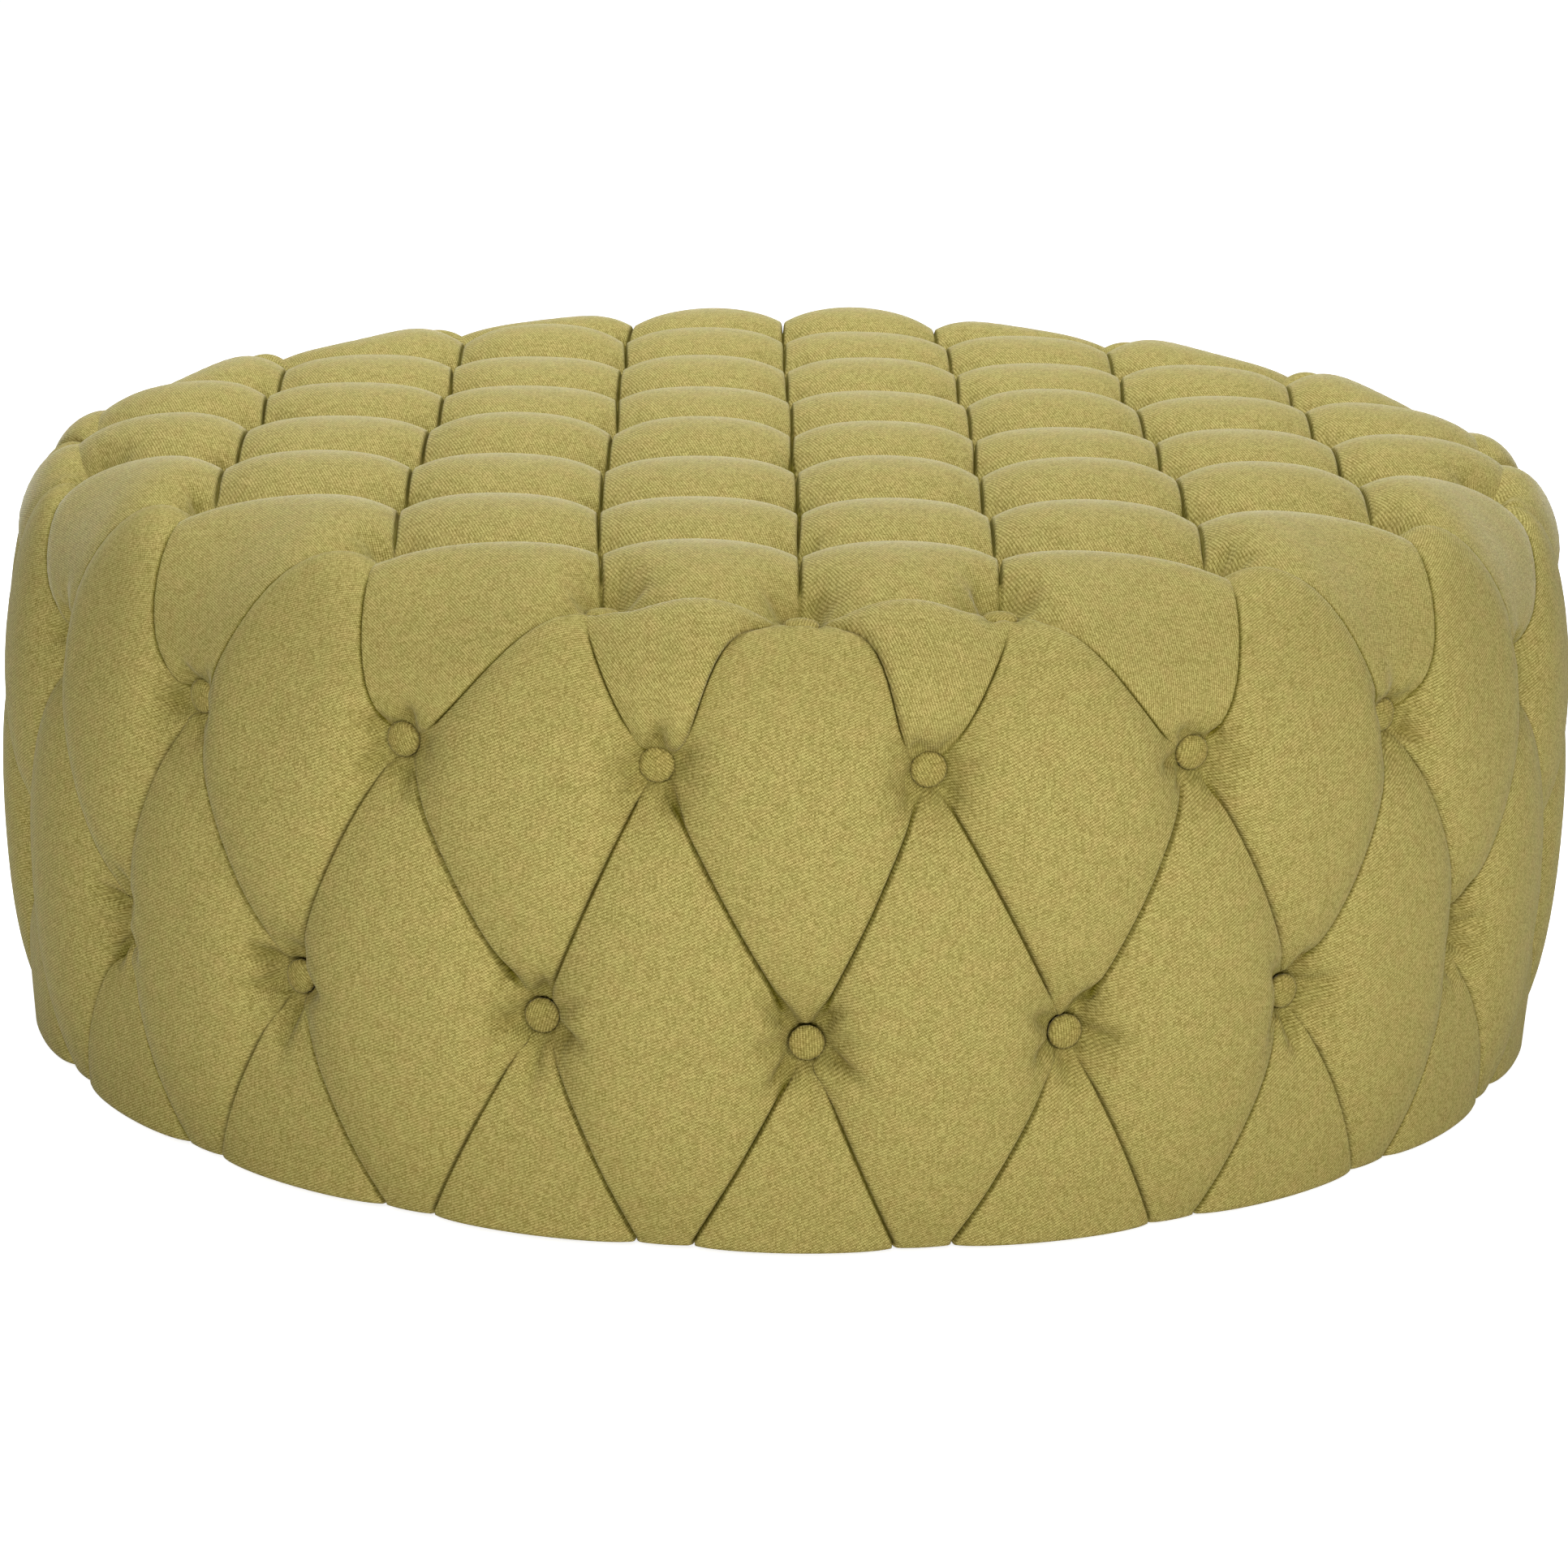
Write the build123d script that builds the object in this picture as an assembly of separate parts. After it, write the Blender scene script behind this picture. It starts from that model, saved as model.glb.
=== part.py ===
from build123d import *
from math import atan2, cos, hypot, pi, sin
import os

# Round button-tufted ottoman: a padded drum with a square tuft grid on top and two rows of buttons round its side.
# Millimetres, +Z up. The origin is on the floor under the middle of the drum, and the front faces -Y.

# Overall size, measured over the crowns of the padding
overall_diameter = 1016.0
overall_height = 394.0

# Tuft layout: grid columns and rows counted from the middle, and buttons in each row round the side
grid_reach = 4
side_columns = 20
shoulder_inset = 33.0
shoulder_setback = 62.0
upper_row_drop = 112.0
lower_row_height = 134.0
fold_meeting_depth = 21.0
hem_fold_drop = 50.0

# How far the buttons and the pleats between them are drawn in below the crowns
top_tuft_depth = 45.0
top_pleat_depth = 9.0
side_tuft_depth = 38.0
side_pleat_depth = 9.0
hem_tuft_depth = 26.0
shoulder_line_depth = 17.0
shoulder_crown = 7.0
shoulder_cell_drop = 2.0
shoulder_swell = 3.6
tongue_crown = 6.0
seam_lift_share = 0.40
shoulder_centre_depth = 100.0
padding_under_tuft = 4.0
turned_under_width = 36.0
turned_under_thickness = 1.0

# Foam under the tufted padding
top_foam_thickness = 22.0
side_foam_thickness = 8.0
foam_bevel = 16.0

# Plywood and timber carcass
side_wrap_thickness = 4.0
deck_thickness = 12.0
ring_thickness = 15.0
ring_width = 70.0
rail_width = 60.0
rail_thickness = 18.0
rail_landing = 34.0
rail_turn = 45  # degrees from the front
post_count = 8
post_width = 40.0
post_setback = 3.0
centre_post_width = 60.0
hub_width = 110.0
board_edge_break = 1.5

# Underside
glide_count = 6
glide_diameter = 32.0
glide_height = 7.0
dust_cover_thickness = 1.0
dust_cover_inset = 22.0
staple_count = 20
staple_length = 12.0
staple_width = 1.2
staple_height = 0.8
staple_inset = 8.0

# Covered buttons
button_diameter = 20.0
button_rim_height = 2.0
button_height = 6.0
button_shoulder_share = 0.62
button_sides = 10
top_button_sides = 8
pit_reach_share = 0.4
rim_directions = 8
rim_halvings = 10

# Gaps between pieces and the overrun of every cut
soft_clearance = 0.3
wood_clearance = 0.3
cut_overrun = 5.0

# Levels and radii that follow from the sizes above
overall_radius = overall_diameter / 2
hem_level = glide_height + dust_cover_thickness
base_level = hem_level + turned_under_thickness
upper_row_level = overall_height - upper_row_drop
tuft_level = overall_height - top_tuft_depth
tuft_radius = overall_radius - side_tuft_depth
core_top = tuft_level - padding_under_tuft
core_radius = tuft_radius - padding_under_tuft
deck_top = core_top - top_foam_thickness
deck_bottom = deck_top - deck_thickness
wrap_radius = core_radius - side_foam_thickness
inner_radius = wrap_radius - side_wrap_thickness
board_radius = inner_radius - wood_clearance
ring_inner_radius = board_radius - ring_width
ring_top_bottom = deck_bottom - ring_thickness
ring_base_top = base_level + ring_thickness
grid_pitch = (overall_radius - shoulder_inset) / hypot(grid_reach, 1)
shoulder_limit = overall_radius - shoulder_setback
column_angle = 2 * pi / side_columns

UP = Vector(0, 0, 1)
SHOULDER_CENTRE = Vector(0, 0, -shoulder_centre_depth)

# A cubic fold reaches three quarters of its control height at its middle, where its end points weigh a quarter.
fold_middle_share = 3 / 4
patch_middle_share = fold_middle_share ** 2


def on_drum(angle, radius, level):
    """A point at an angle round the drum."""
    return Vector(radius * cos(angle), radius * sin(angle), level)


def between(start, end, share):
    return start + (end - start) * share


def straight_out(point):
    return Vector(point.X, point.Y, 0).normalized()


def over_shoulder(point):
    return (point - SHOULDER_CENTRE).normalized()


def is_tuft(column, row):
    """The grid fills a circle through the tufts beside the middle of each side."""
    return column ** 2 + row ** 2 <= grid_reach ** 2 + 1


def grid_tuft(column, row):
    """A tuft of the square grid on top. The outermost ones are held in to one circle."""
    spot = Vector(column * grid_pitch, row * grid_pitch, 0)
    if spot.length > shoulder_limit:
        spot = spot.normalized() * shoulder_limit
    return spot + UP * tuft_level


def shoulder_cells():
    """The twenty grid places that ring the top, in order round the drum."""
    places = range(-grid_reach, grid_reach + 1)
    ring = [(i, j) for i in places for j in places if is_tuft(i, j) and not is_inner(i, j)]
    return sorted(ring, key=lambda cell: atan2(cell[1], cell[0]) % (2 * pi))


def is_inner(column, row):
    """An inner tuft has tufts on all four sides."""
    return all(is_tuft(column + i, row + j) for i, j in ((1, 0), (-1, 0), (0, 1), (0, -1)))


def fold(start, end, lift, direction):
    """Control points of the pleat between two tufts, lifted out of the padding between them."""
    near = between(start, end, 1 / 3)
    far = between(start, end, 2 / 3)
    return [start, near + direction(near) * lift, far + direction(far) * lift, end]


def top_fold(start, end):
    lift = (top_tuft_depth - top_pleat_depth) / fold_middle_share
    return fold(start, end, lift, lambda point: UP)


def side_fold(start, end):
    lift = (side_tuft_depth - side_pleat_depth) / fold_middle_share
    return fold(start, end, lift, straight_out)


def seam_fold(shoulder, button):
    """The seam between top and side panel, in one plane with the shoulder's centre."""
    lift = (button - shoulder).length * seam_lift_share
    return fold(shoulder, button, lift, over_shoulder)


def shoulder_line(start, end):
    """The soft hollow between two shoulder tufts, which has no pleat."""
    lift = (top_tuft_depth - shoulder_line_depth) / fold_middle_share
    return fold(start, end, lift, over_shoulder)


def control_net(first, right, last, left):
    """Control points between four folds: first and last run the same way, and so do left and right."""
    net = [list(left)]
    for i in (1, 2):
        row = [first[i]]
        for j in (1, 2):
            across = between(left[j], right[j], i / 3)
            along = between(first[i], last[i], j / 3)
            row.append(between(across, along, 1 / 2))
        net.append(row + [last[i]])
    return net + [list(right)]


def lift_middle(net, lift, direction):
    for i in (1, 2):
        for j in (1, 2):
            net[i][j] = net[i][j] + direction(net[i][j]) * lift
    return net


def cubic_shares(place):
    """How much each of four control points counts at a place between 0 and 1."""
    rest = 1 - place
    return rest ** 3, 3 * place * rest ** 2, 3 * place ** 2 * rest, place ** 3


def net_point(net, u, v):
    """The point of a net's surface at the places u and v."""
    shares = [row_share * share for row_share in cubic_shares(u) for share in cubic_shares(v)]
    points = [tuple(point) for row in net for point in row]
    return Vector(*(sum(share * place for share, place in zip(shares, places)) for places in zip(*points)))


def net_middle(net):
    return net_point(net, 1 / 2, 1 / 2)


def puff_top(net, level):
    """A cell of the top, its middle raised to a level."""
    lift = (level - net_middle(net).Z) / patch_middle_share
    return lift_middle(net, lift, lambda point: UP)


def puff_side(net, radius):
    """A diamond of the side, its middle pushed out to a radius."""
    middle = net_middle(net)
    lift = (radius - hypot(middle.X, middle.Y)) / patch_middle_share
    return lift_middle(net, lift, straight_out)


def patch(net):
    return Face.make_bezier_surface(net)


def square_cells():
    """Control nets of the square cells by their lower grid corner."""
    nets = {}
    places = range(-grid_reach, grid_reach)
    for i in places:
        for j in places:
            corners = ((i, j), (i + 1, j), (i + 1, j + 1), (i, j + 1))
            if all(is_tuft(*corner) for corner in corners):
                nets[i, j] = square_net(corners)
    return nets


def square_net(corners):
    a, b, c, d = (grid_tuft(*corner) for corner in corners)
    ring = set(shoulder_cells())

    def edge(start, end, start_cell, end_cell):
        both_on_shoulder = start_cell in ring and end_cell in ring
        return shoulder_line(start, end) if both_on_shoulder else top_fold(start, end)

    first = edge(a, b, corners[0], corners[1])
    right = edge(b, c, corners[1], corners[2])
    last = edge(d, c, corners[3], corners[2])
    left = edge(a, d, corners[0], corners[3])
    at_shoulder = sum(corner in ring for corner in corners) > 1
    level = overall_height - (shoulder_cell_drop if at_shoulder else 0)
    return puff_top(control_net(first, right, last, left), level)


def upper_button(column):
    """The tuft of the upper side row that follows a shoulder tuft."""
    return on_drum((column + 1 / 2) * column_angle, tuft_radius, upper_row_level)


def lower_button(column):
    return on_drum(column * column_angle, tuft_radius, lower_row_height)


def hem_meeting(column):
    """Where two hem pleats would meet, below the hem that cuts them off."""
    radius = overall_radius - hem_tuft_depth
    return on_drum((column + 1 / 2) * column_angle, radius, -fold_meeting_depth)


def hem_point(column):
    """A point further down, which closes the padding under the hem until it is cut off."""
    return on_drum(column * column_angle, tuft_radius, -fold_meeting_depth - hem_fold_drop)


def shoulder_tuft(column):
    cells = shoulder_cells()
    return grid_tuft(*cells[column % len(cells)])


def tongue(net, column):
    """The point of the top panel that runs over the shoulder to an upper button, under a square cell."""
    left_seam = seam_fold(shoulder_tuft(column), upper_button(column))
    right_seam = seam_fold(shoulder_tuft(column + 1), upper_button(column))
    line, inner_row = shoulder_rows(net, shoulder_tuft(column), shoulder_tuft(column + 1))
    first_row = [left_seam[1]]
    second_row = [left_seam[2]]
    for i in (1, 2):
        first_row.append(line[i] + (line[i] - inner_row[i]))
        middle = between(left_seam[2], right_seam[2], i / 3)
        second_row.append(middle + over_shoulder(middle) * tongue_crown)
    first_row.append(right_seam[1])
    second_row.append(right_seam[2])
    tip = [upper_button(column)] * 4
    return [line, first_row, second_row, tip]


def shoulder_rows(net, start, end):
    """The edge row of a square cell's net that runs from start to end, with the row beside it."""
    turned = [list(row) for row in zip(*net)]
    options = []
    for rows in (net, net[::-1], turned, turned[::-1]):
        options.append((rows[0], rows[1]))
        options.append((rows[0][::-1], rows[1][::-1]))
    return min(options, key=lambda rows: (rows[0][0] - start).length + (rows[0][-1] - end).length)


def shoulder_gap(first_cell, second_cell, button):
    """The four-sided cell over the shoulder where the grid steps from one row to the next."""
    corners = (first_cell[0], second_cell[1]), (second_cell[0], first_cell[1])
    inner = grid_tuft(*min(corners, key=lambda cell: hypot(*cell)))
    first, second = grid_tuft(*first_cell), grid_tuft(*second_cell)
    net = control_net(
        top_fold(inner, first),
        seam_fold(first, button),
        seam_fold(second, button),
        top_fold(inner, second),
    )
    return lift_middle(net, shoulder_crown, over_shoulder)


def top_panel():
    """The nets of all cells of the top, with its points down to the upper row of buttons."""
    squares = square_cells()
    nets = list(squares.values())
    cells = shoulder_cells()
    for column in range(side_columns):
        first_cell = cells[column]
        second_cell = cells[(column + 1) % side_columns]
        if first_cell[0] == second_cell[0] or first_cell[1] == second_cell[1]:
            nets.append(tongue(square_under(squares, first_cell, second_cell), column))
        else:
            nets.append(shoulder_gap(first_cell, second_cell, upper_button(column)))
    return nets


def square_under(squares, first_cell, second_cell):
    """The square cell whose outer edge joins two neighbouring shoulder tufts."""
    low_column = min(first_cell[0], second_cell[0])
    low_row = min(first_cell[1], second_cell[1])
    if first_cell[0] == second_cell[0] and first_cell[0] > 0:
        low_column -= 1
    if first_cell[1] == second_cell[1] and first_cell[1] > 0:
        low_row -= 1
    return squares[low_column, low_row]


def side_panel():
    """The nets of three rings of diamonds: shoulder to lower row, upper row to hem, and lower row to hem."""
    nets = []
    for column in range(side_columns):
        shoulder, lower = shoulder_tuft(column), lower_button(column)
        before, after = upper_button(column - 1), upper_button(column)
        net = control_net(
            seam_fold(shoulder, after),
            side_fold(after, lower),
            side_fold(before, lower),
            seam_fold(shoulder, before),
        )
        nets.append(puff_side(net, overall_radius - shoulder_swell))
        nets.append(side_diamond(after, lower_button(column + 1), hem_meeting(column), lower))
        nets.append(side_diamond(lower, hem_meeting(column), hem_point(column), hem_meeting(column - 1)))
    return nets


def side_diamond(top, right, bottom, left):
    net = control_net(side_fold(top, right), side_fold(right, bottom), side_fold(left, bottom), side_fold(top, left))
    return puff_side(net, overall_radius)


def toward_centre(point):
    """The matching point well inside the padding, on the line to the shoulder's centre."""
    return between(SHOULDER_CENTRE, point, 1 / 2)


def flat_face(*corners):
    return Face(Wire.make_polygon(corners, close=True))


def seam_wall(shoulder, button):
    """The cut between top and side padding below one stretch of seam."""
    inner_shoulder, inner_button = toward_centre(shoulder), toward_centre(button)
    edges = [
        Edge.make_bezier(*seam_fold(shoulder, button)),
        Edge.make_line(button, inner_button),
        Edge.make_line(inner_button, inner_shoulder),
        Edge.make_line(inner_shoulder, shoulder),
    ]
    return Face(Wire(edges))


def seam_faces():
    """The whole zigzag cut between top and side padding, closed across the middle."""
    faces = []
    for column in range(side_columns):
        shoulder, following = shoulder_tuft(column), shoulder_tuft(column + 1)
        button = upper_button(column)
        faces += [seam_wall(shoulder, button), seam_wall(following, button)]
        faces.append(flat_face(toward_centre(shoulder), toward_centre(button), toward_centre(following)))
    faces.append(flat_face(*(toward_centre(shoulder_tuft(column)) for column in range(side_columns))))
    return faces


def hem_faces():
    """The bottom that closes the side padding until the hem is cut."""
    faces = []
    for column in range(side_columns):
        meeting = hem_meeting(column)
        first_fold = side_fold(hem_point(column), meeting)
        second_fold = side_fold(hem_point(column + 1), meeting)
        faces.append(patch([first_fold, second_fold]))
    faces.append(flat_face(*(hem_point(column) for column in range(side_columns))))
    return faces


def solid_of(faces):
    solid = Solid(Shell(faces))
    return solid if solid.volume > 0 else -solid


def core_space(radius, top, bevel, width, level):
    """The space inside the padding: foam and carcass, down to the fabric that is turned under."""
    outline = [
        (0, hem_level - cut_overrun),
        (width, hem_level - cut_overrun),
        (width, level),
        (radius, level),
        (radius, top - bevel),
        (radius - bevel, top),
        (0, top),
    ]
    section = Plane.XZ * make_face(Polyline(*outline, close=True))
    return revolve(section, axis=Axis.Z)


def padding(top_nets, side_nets):
    """Top and side padding, cut out over the foam and cut off at the hem."""
    core = core_space(
        core_radius + soft_clearance,
        core_top + soft_clearance,
        foam_bevel,
        core_radius - turned_under_width,
        base_level,
    )
    below_hem = Pos(0, 0, hem_level - overall_height / 2) * Cylinder(overall_diameter, overall_height)
    seam = seam_faces()
    top_faces = [patch(net) for net in top_nets]
    side_faces = [patch(net) for net in side_nets]
    top = solid_of(top_faces + seam) - core
    side = solid_of(side_faces + seam + hem_faces()) - below_hem - core
    return top, side


def disc(radius, thickness, level):
    return Pos(0, 0, level + thickness / 2) * Cylinder(radius, thickness)


def ring(outer, inner, thickness, level):
    return disc(outer, thickness, level) - disc(inner, thickness + 2 * cut_overrun, level - cut_overrun)


def foam():
    """The slab over the deck, bevelled at its edge, and the band round the drum."""
    slab = disc(core_radius, top_foam_thickness, deck_top)
    slab = chamfer(slab.edges().group_by(Axis.Z)[-1], foam_bevel)
    band = ring(core_radius, wrap_radius + soft_clearance, deck_top - base_level - soft_clearance, base_level)
    return slab, band


def crossed_rails(level):
    """Two rails, half-lapped where they cross."""
    length = 2 * (ring_inner_radius + rail_landing)
    rail = Pos(0, 0, level + rail_thickness / 2) * Box(length, rail_width, rail_thickness)
    lap_width = rail_width + wood_clearance
    lap = Box(lap_width, rail_width + cut_overrun, rail_thickness)
    upper_lap = Pos(0, 0, level + rail_thickness) * lap
    lower_lap = Pos(0, 0, level) * lap
    return Rot(0, 0, rail_turn) * (rail - upper_lap), Rot(0, 0, -rail_turn) * (rail - lower_lap)


def posts():
    """Posts between the two rings, clear of the rails' ends."""
    height = ring_top_bottom - ring_base_top
    block = Box(post_width, post_width, height)
    block = chamfer(block.edges().filter_by(Axis.Z), board_edge_break)
    middle = board_radius - post_setback - post_width / 2
    turns = [(i + 1 / 2) * 360 / post_count for i in range(post_count)]
    return [Rot(0, 0, turn) * Pos(middle, 0, ring_base_top + height / 2) * block for turn in turns]


def centre_post(low, high):
    block = Box(centre_post_width, centre_post_width, high - low)
    block = chamfer(block.edges().filter_by(Axis.Z), board_edge_break)
    return Rot(0, 0, rail_turn) * Pos(0, 0, (low + high) / 2) * block


def hub_spacer():
    """The block between the crossed rails and the deck, where no ring reaches."""
    block = Box(hub_width, hub_width, ring_thickness)
    block = chamfer(block.edges().filter_by(Axis.Z), board_edge_break)
    return Rot(0, 0, rail_turn) * Pos(0, 0, ring_top_bottom + ring_thickness / 2) * block


def button(sides):
    """A fabric-covered button: a low rim under a domed cap."""
    half = button_diameter / 2
    rim = extrude(RegularPolygon(half, sides), button_rim_height)
    rim_face = Pos(0, 0, button_rim_height) * RegularPolygon(half, sides)
    crown_face = Pos(0, 0, button_height) * RegularPolygon(half * button_shoulder_share, sides)
    return rim + loft([rim_face, crown_face])


def pit_rise(tuft, axis, nets):
    """How far the padding rises at a button's rim above the lowest point of its tuft."""
    rises = []
    for net in nets:
        for u_end in (0, 1):
            for v_end in (0, 1):
                if (net[-u_end][-v_end] - tuft).length < soft_clearance:
                    rises += [rim_rise(net, u_end, v_end, tuft, axis, i) for i in range(rim_directions + 1)]
    return max(rises)


def rim_rise(net, u_end, v_end, tuft, axis, direction):
    """The height where a line across the cell leaves the button's radius, found by halving."""
    turn = pi / 2 * direction / rim_directions
    low, high = 0, pit_reach_share
    for _ in range(rim_halvings):
        middle = (low + high) / 2
        offset = net_point(net, abs(u_end - middle * cos(turn)), abs(v_end - middle * sin(turn))) - tuft
        rise = offset.dot(axis)
        if (offset - axis * rise).length < button_diameter / 2:
            low = middle
        else:
            high = middle
    return rise


def meets(net, tuft):
    """Whether a cell has a corner at a tuft."""
    return any((net[i][j] - tuft).length < soft_clearance for i in (0, -1) for j in (0, -1))


def seated_buttons(tufts, axis_at, nets, sides):
    """Buttons drawn in until their rims meet the padding."""
    cap = button(sides)
    seated = []
    for tuft in tufts:
        axis = axis_at(tuft)
        near = [net for net in nets if meets(net, tuft)]
        seat = tuft + axis * (pit_rise(tuft, axis, near) + soft_clearance)
        seated.append(Location(Plane(origin=seat, x_dir=axis_across(axis), z_dir=axis)) * cap)
    return seated


def axis_across(axis):
    """A direction square to a button's axis: +X on top, straight up on the side."""
    return Vector(1, 0, 0) if axis.Z > 1 / 2 else UP


def top_tufts():
    places = range(-grid_reach, grid_reach + 1)
    return [grid_tuft(i, j) for i in places for j in places if is_tuft(i, j)]


def around(count, radius, level, piece):
    """Copies of a piece round the drum, each turned to face outward."""
    return [Rot(0, 0, i * 360 / count) * Pos(radius, 0, level) * piece for i in range(count)]


def glides():
    foot = Cylinder(glide_diameter / 2, glide_height)
    middle = ring_inner_radius + ring_width / 2 - glide_diameter / 2
    return around(glide_count, middle, glide_height / 2, foot)


def dust_cover_staples():
    staple = Box(staple_width, staple_length, staple_height)
    radius = core_radius - dust_cover_inset - staple_inset
    return around(staple_count, radius, hem_level - dust_cover_thickness - staple_height / 2, staple)


def build():
    top_nets, side_nets = top_panel(), side_panel()
    nets = top_nets + side_nets
    top_cushion, side_cushion = padding(top_nets, side_nets)
    top_foam, side_foam = foam()
    deck_rail, deck_cross_rail = crossed_rails(ring_top_bottom - rail_thickness)
    base_rail, base_cross_rail = crossed_rails(ring_base_top)
    columns = range(side_columns)
    pieces = {
        "top_cushion": top_cushion,
        "side_cushion": side_cushion,
        "top_buttons": seated_buttons(top_tufts(), lambda tuft: UP, nets, top_button_sides),
        "upper_side_buttons": seated_buttons(map(upper_button, columns), straight_out, nets, button_sides),
        "lower_side_buttons": seated_buttons(map(lower_button, columns), straight_out, nets, button_sides),
        "top_foam": top_foam,
        "side_foam": side_foam,
        "deck_board": disc(board_radius, deck_thickness, deck_bottom),
        "top_ring": ring(board_radius, ring_inner_radius, ring_thickness, ring_top_bottom),
        "base_ring": ring(board_radius, ring_inner_radius, ring_thickness, base_level),
        "side_wrap": ring(wrap_radius, inner_radius, deck_top - base_level, base_level),
        "deck_rail": deck_rail,
        "deck_cross_rail": deck_cross_rail,
        "base_rail": base_rail,
        "base_cross_rail": base_cross_rail,
        "centre_post": centre_post(ring_base_top + rail_thickness, ring_top_bottom - rail_thickness),
        "hub_spacer": hub_spacer(),
        "dust_cover": disc(core_radius - dust_cover_inset, dust_cover_thickness, hem_level - dust_cover_thickness),
        "dust_cover_staples": dust_cover_staples(),
        "glides": glides(),
    }
    for number, post in enumerate(posts(), 1):
        pieces[f"post_{number}"] = post
    return pieces


def write(pieces):
    os.makedirs("parts", exist_ok=True)
    for name, piece in pieces.items():
        solids = piece if isinstance(piece, list) else [piece]
        bodies = [body for solid in solids for body in solid.solids()]
        shape = bodies[0] if len(bodies) == 1 else Compound(children=bodies)
        export_step(shape, f"parts/{name}.step")


write(build())
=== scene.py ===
import math

import bmesh
import bpy
import numpy as np
from mathutils import Matrix, Vector, kdtree


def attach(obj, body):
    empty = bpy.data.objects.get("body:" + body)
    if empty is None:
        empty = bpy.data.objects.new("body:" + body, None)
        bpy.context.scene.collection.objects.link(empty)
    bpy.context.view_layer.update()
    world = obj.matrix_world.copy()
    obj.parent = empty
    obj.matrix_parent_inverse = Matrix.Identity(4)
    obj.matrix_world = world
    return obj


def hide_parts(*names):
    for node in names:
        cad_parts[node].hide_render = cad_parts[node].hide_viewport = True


# Looks of the round button-tufted ottoman. Metres, +Z up, the front of the tuft grid faces -Y.
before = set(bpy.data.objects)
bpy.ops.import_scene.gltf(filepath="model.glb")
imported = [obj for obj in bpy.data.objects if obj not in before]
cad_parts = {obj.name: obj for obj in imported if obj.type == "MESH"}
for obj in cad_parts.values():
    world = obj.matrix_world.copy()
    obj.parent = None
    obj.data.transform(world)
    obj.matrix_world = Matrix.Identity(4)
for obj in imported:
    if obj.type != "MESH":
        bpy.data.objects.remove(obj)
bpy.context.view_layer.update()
chance = np.random.default_rng(20)
MM = 0.001

# The drum and its tufts. Most sizes are the CAD source's, but tufts, pleats and hem are drawn in deeper here.
RADIUS = 508 * MM
HEIGHT = 394 * MM
REACH = 4
COLUMNS = 20
COLUMN_ANGLE = 2 * math.pi / COLUMNS
GRID_SETBACK = 33 * MM
PITCH = (RADIUS - GRID_SETBACK) / math.hypot(REACH, 1)
SHOULDER_LIMIT = RADIUS - 62 * MM
TUFT_LEVEL = HEIGHT - 45 * MM
TUFT_RADIUS = RADIUS - 28 * MM
SHOULDER_TUFT_DROP = 5 * MM
UPPER_LEVEL = HEIGHT - 112 * MM
LOWER_LEVEL = 134 * MM
CORE_TOP = HEIGHT - 49 * MM
CORE_RADIUS = RADIUS - 42 * MM
CORE_BEVEL = 16 * MM
BACKING_GAP = 0.5 * MM

# The hem. The lowest folds meet below it, where the cover is cut off.
HEM_LEVEL = 8 * MM
HEM_SETBACK = 16 * MM
HEM_MEETING_RADIUS = RADIUS - 36 * MM
HEM_POINT_RADIUS = TUFT_RADIUS - 8 * MM
FOLD_MEETING_DEPTH = 21 * MM
HEM_FOLD_DROP = 50 * MM
HEM_STEPS = ((0.9 * MM, 2.1 * MM), (2.1 * MM, 0.9 * MM))
TURNED_UNDER = 36 * MM
CLOTH_THICKNESS = 1 * MM

# Pleats and crowns
TOP_PLEAT_DEPTH = 12 * MM
ROW_EXTRA_DEPTH = 10 * MM
SIDE_PLEAT_DEPTH = 7 * MM
LINE_LIFT, LINE_OUT, LINE_UP = 40 * MM, 0.42, 0.91
SHOULDER_CROWN = 24 * MM
SHOULDER_CELL_DROP = 2 * MM
SHOULDER_SWELL = 3.6 * MM
SHOULDER_CENTRE = np.array([0, 0, -100 * MM])
TONGUE_CROWN = 9 * MM
FOLD_MIDDLE_SHARE = 3 / 4
PATCH_MIDDLE_SHARE = FOLD_MIDDLE_SHARE ** 2

# The skeleton whose offset is the drum's rounded form, and the path of the seam over its shoulder
SKELETON_RADIUS = RADIUS - 90 * MM
SKELETON_TOP = HEIGHT - 90 * MM
SHOULDER_ROUND = 90 * MM
SEAM_ROUND = 72 * MM
RIM_SETBACK, RIM_PULL = 178 * MM, 0.65
RIM_HALF_ANGLE, RIM_NARROWING, RIM_ASIDE_SHARE = math.radians(3.4), 0.4, 0.6
FRONT_RIMS = {14: math.radians(-0.6), 15: math.radians(0.4)}
RIM_PLACE, MIDDLE_PLACE = 0.24, 0.6
MIDDLE_HEIGHT_SHARE, MIDDLE_ANGLE_SHARE = 0.47, 0.45
RIM_HOLD, RIM_LIFT = 12 * MM, 26 * MM
RIM_CORNER_SHARES = ((1, 1, 1.0), (1, 2, 0.5), (2, 1, 0.5))

# How far things stray from their even places: in metres, in millimetres where the name says so, or as a share
INNER_STRAY, SHOULDER_STRAY, LEVEL_STRAY = 3.2 * MM, 1.6 * MM, 1.5 * MM
SIDE_DEPTH_STRAY = 1 * MM
SIDE_STRAY_MM, SIDE_RISE_STRAY_MM, FOLD_STRAY_MM = 2.5, 3, 1.5
TOP_CROWNS_MM, SIDE_CROWNS_MM = (-4, 1), (-2, 1)
HEM_TURN_STRAY = 0.012
RIM_STRAY_SHARE = 0.06
UP = np.array([0.0, 0.0, 1.0])


def unit(v):
    return v / np.linalg.norm(v)


def outward(p):
    return unit(np.array([p[0], p[1], 0.0]))


def over_shoulder(p):
    return unit(p - SHOULDER_CENTRE)


def upward(p):
    return UP


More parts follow.
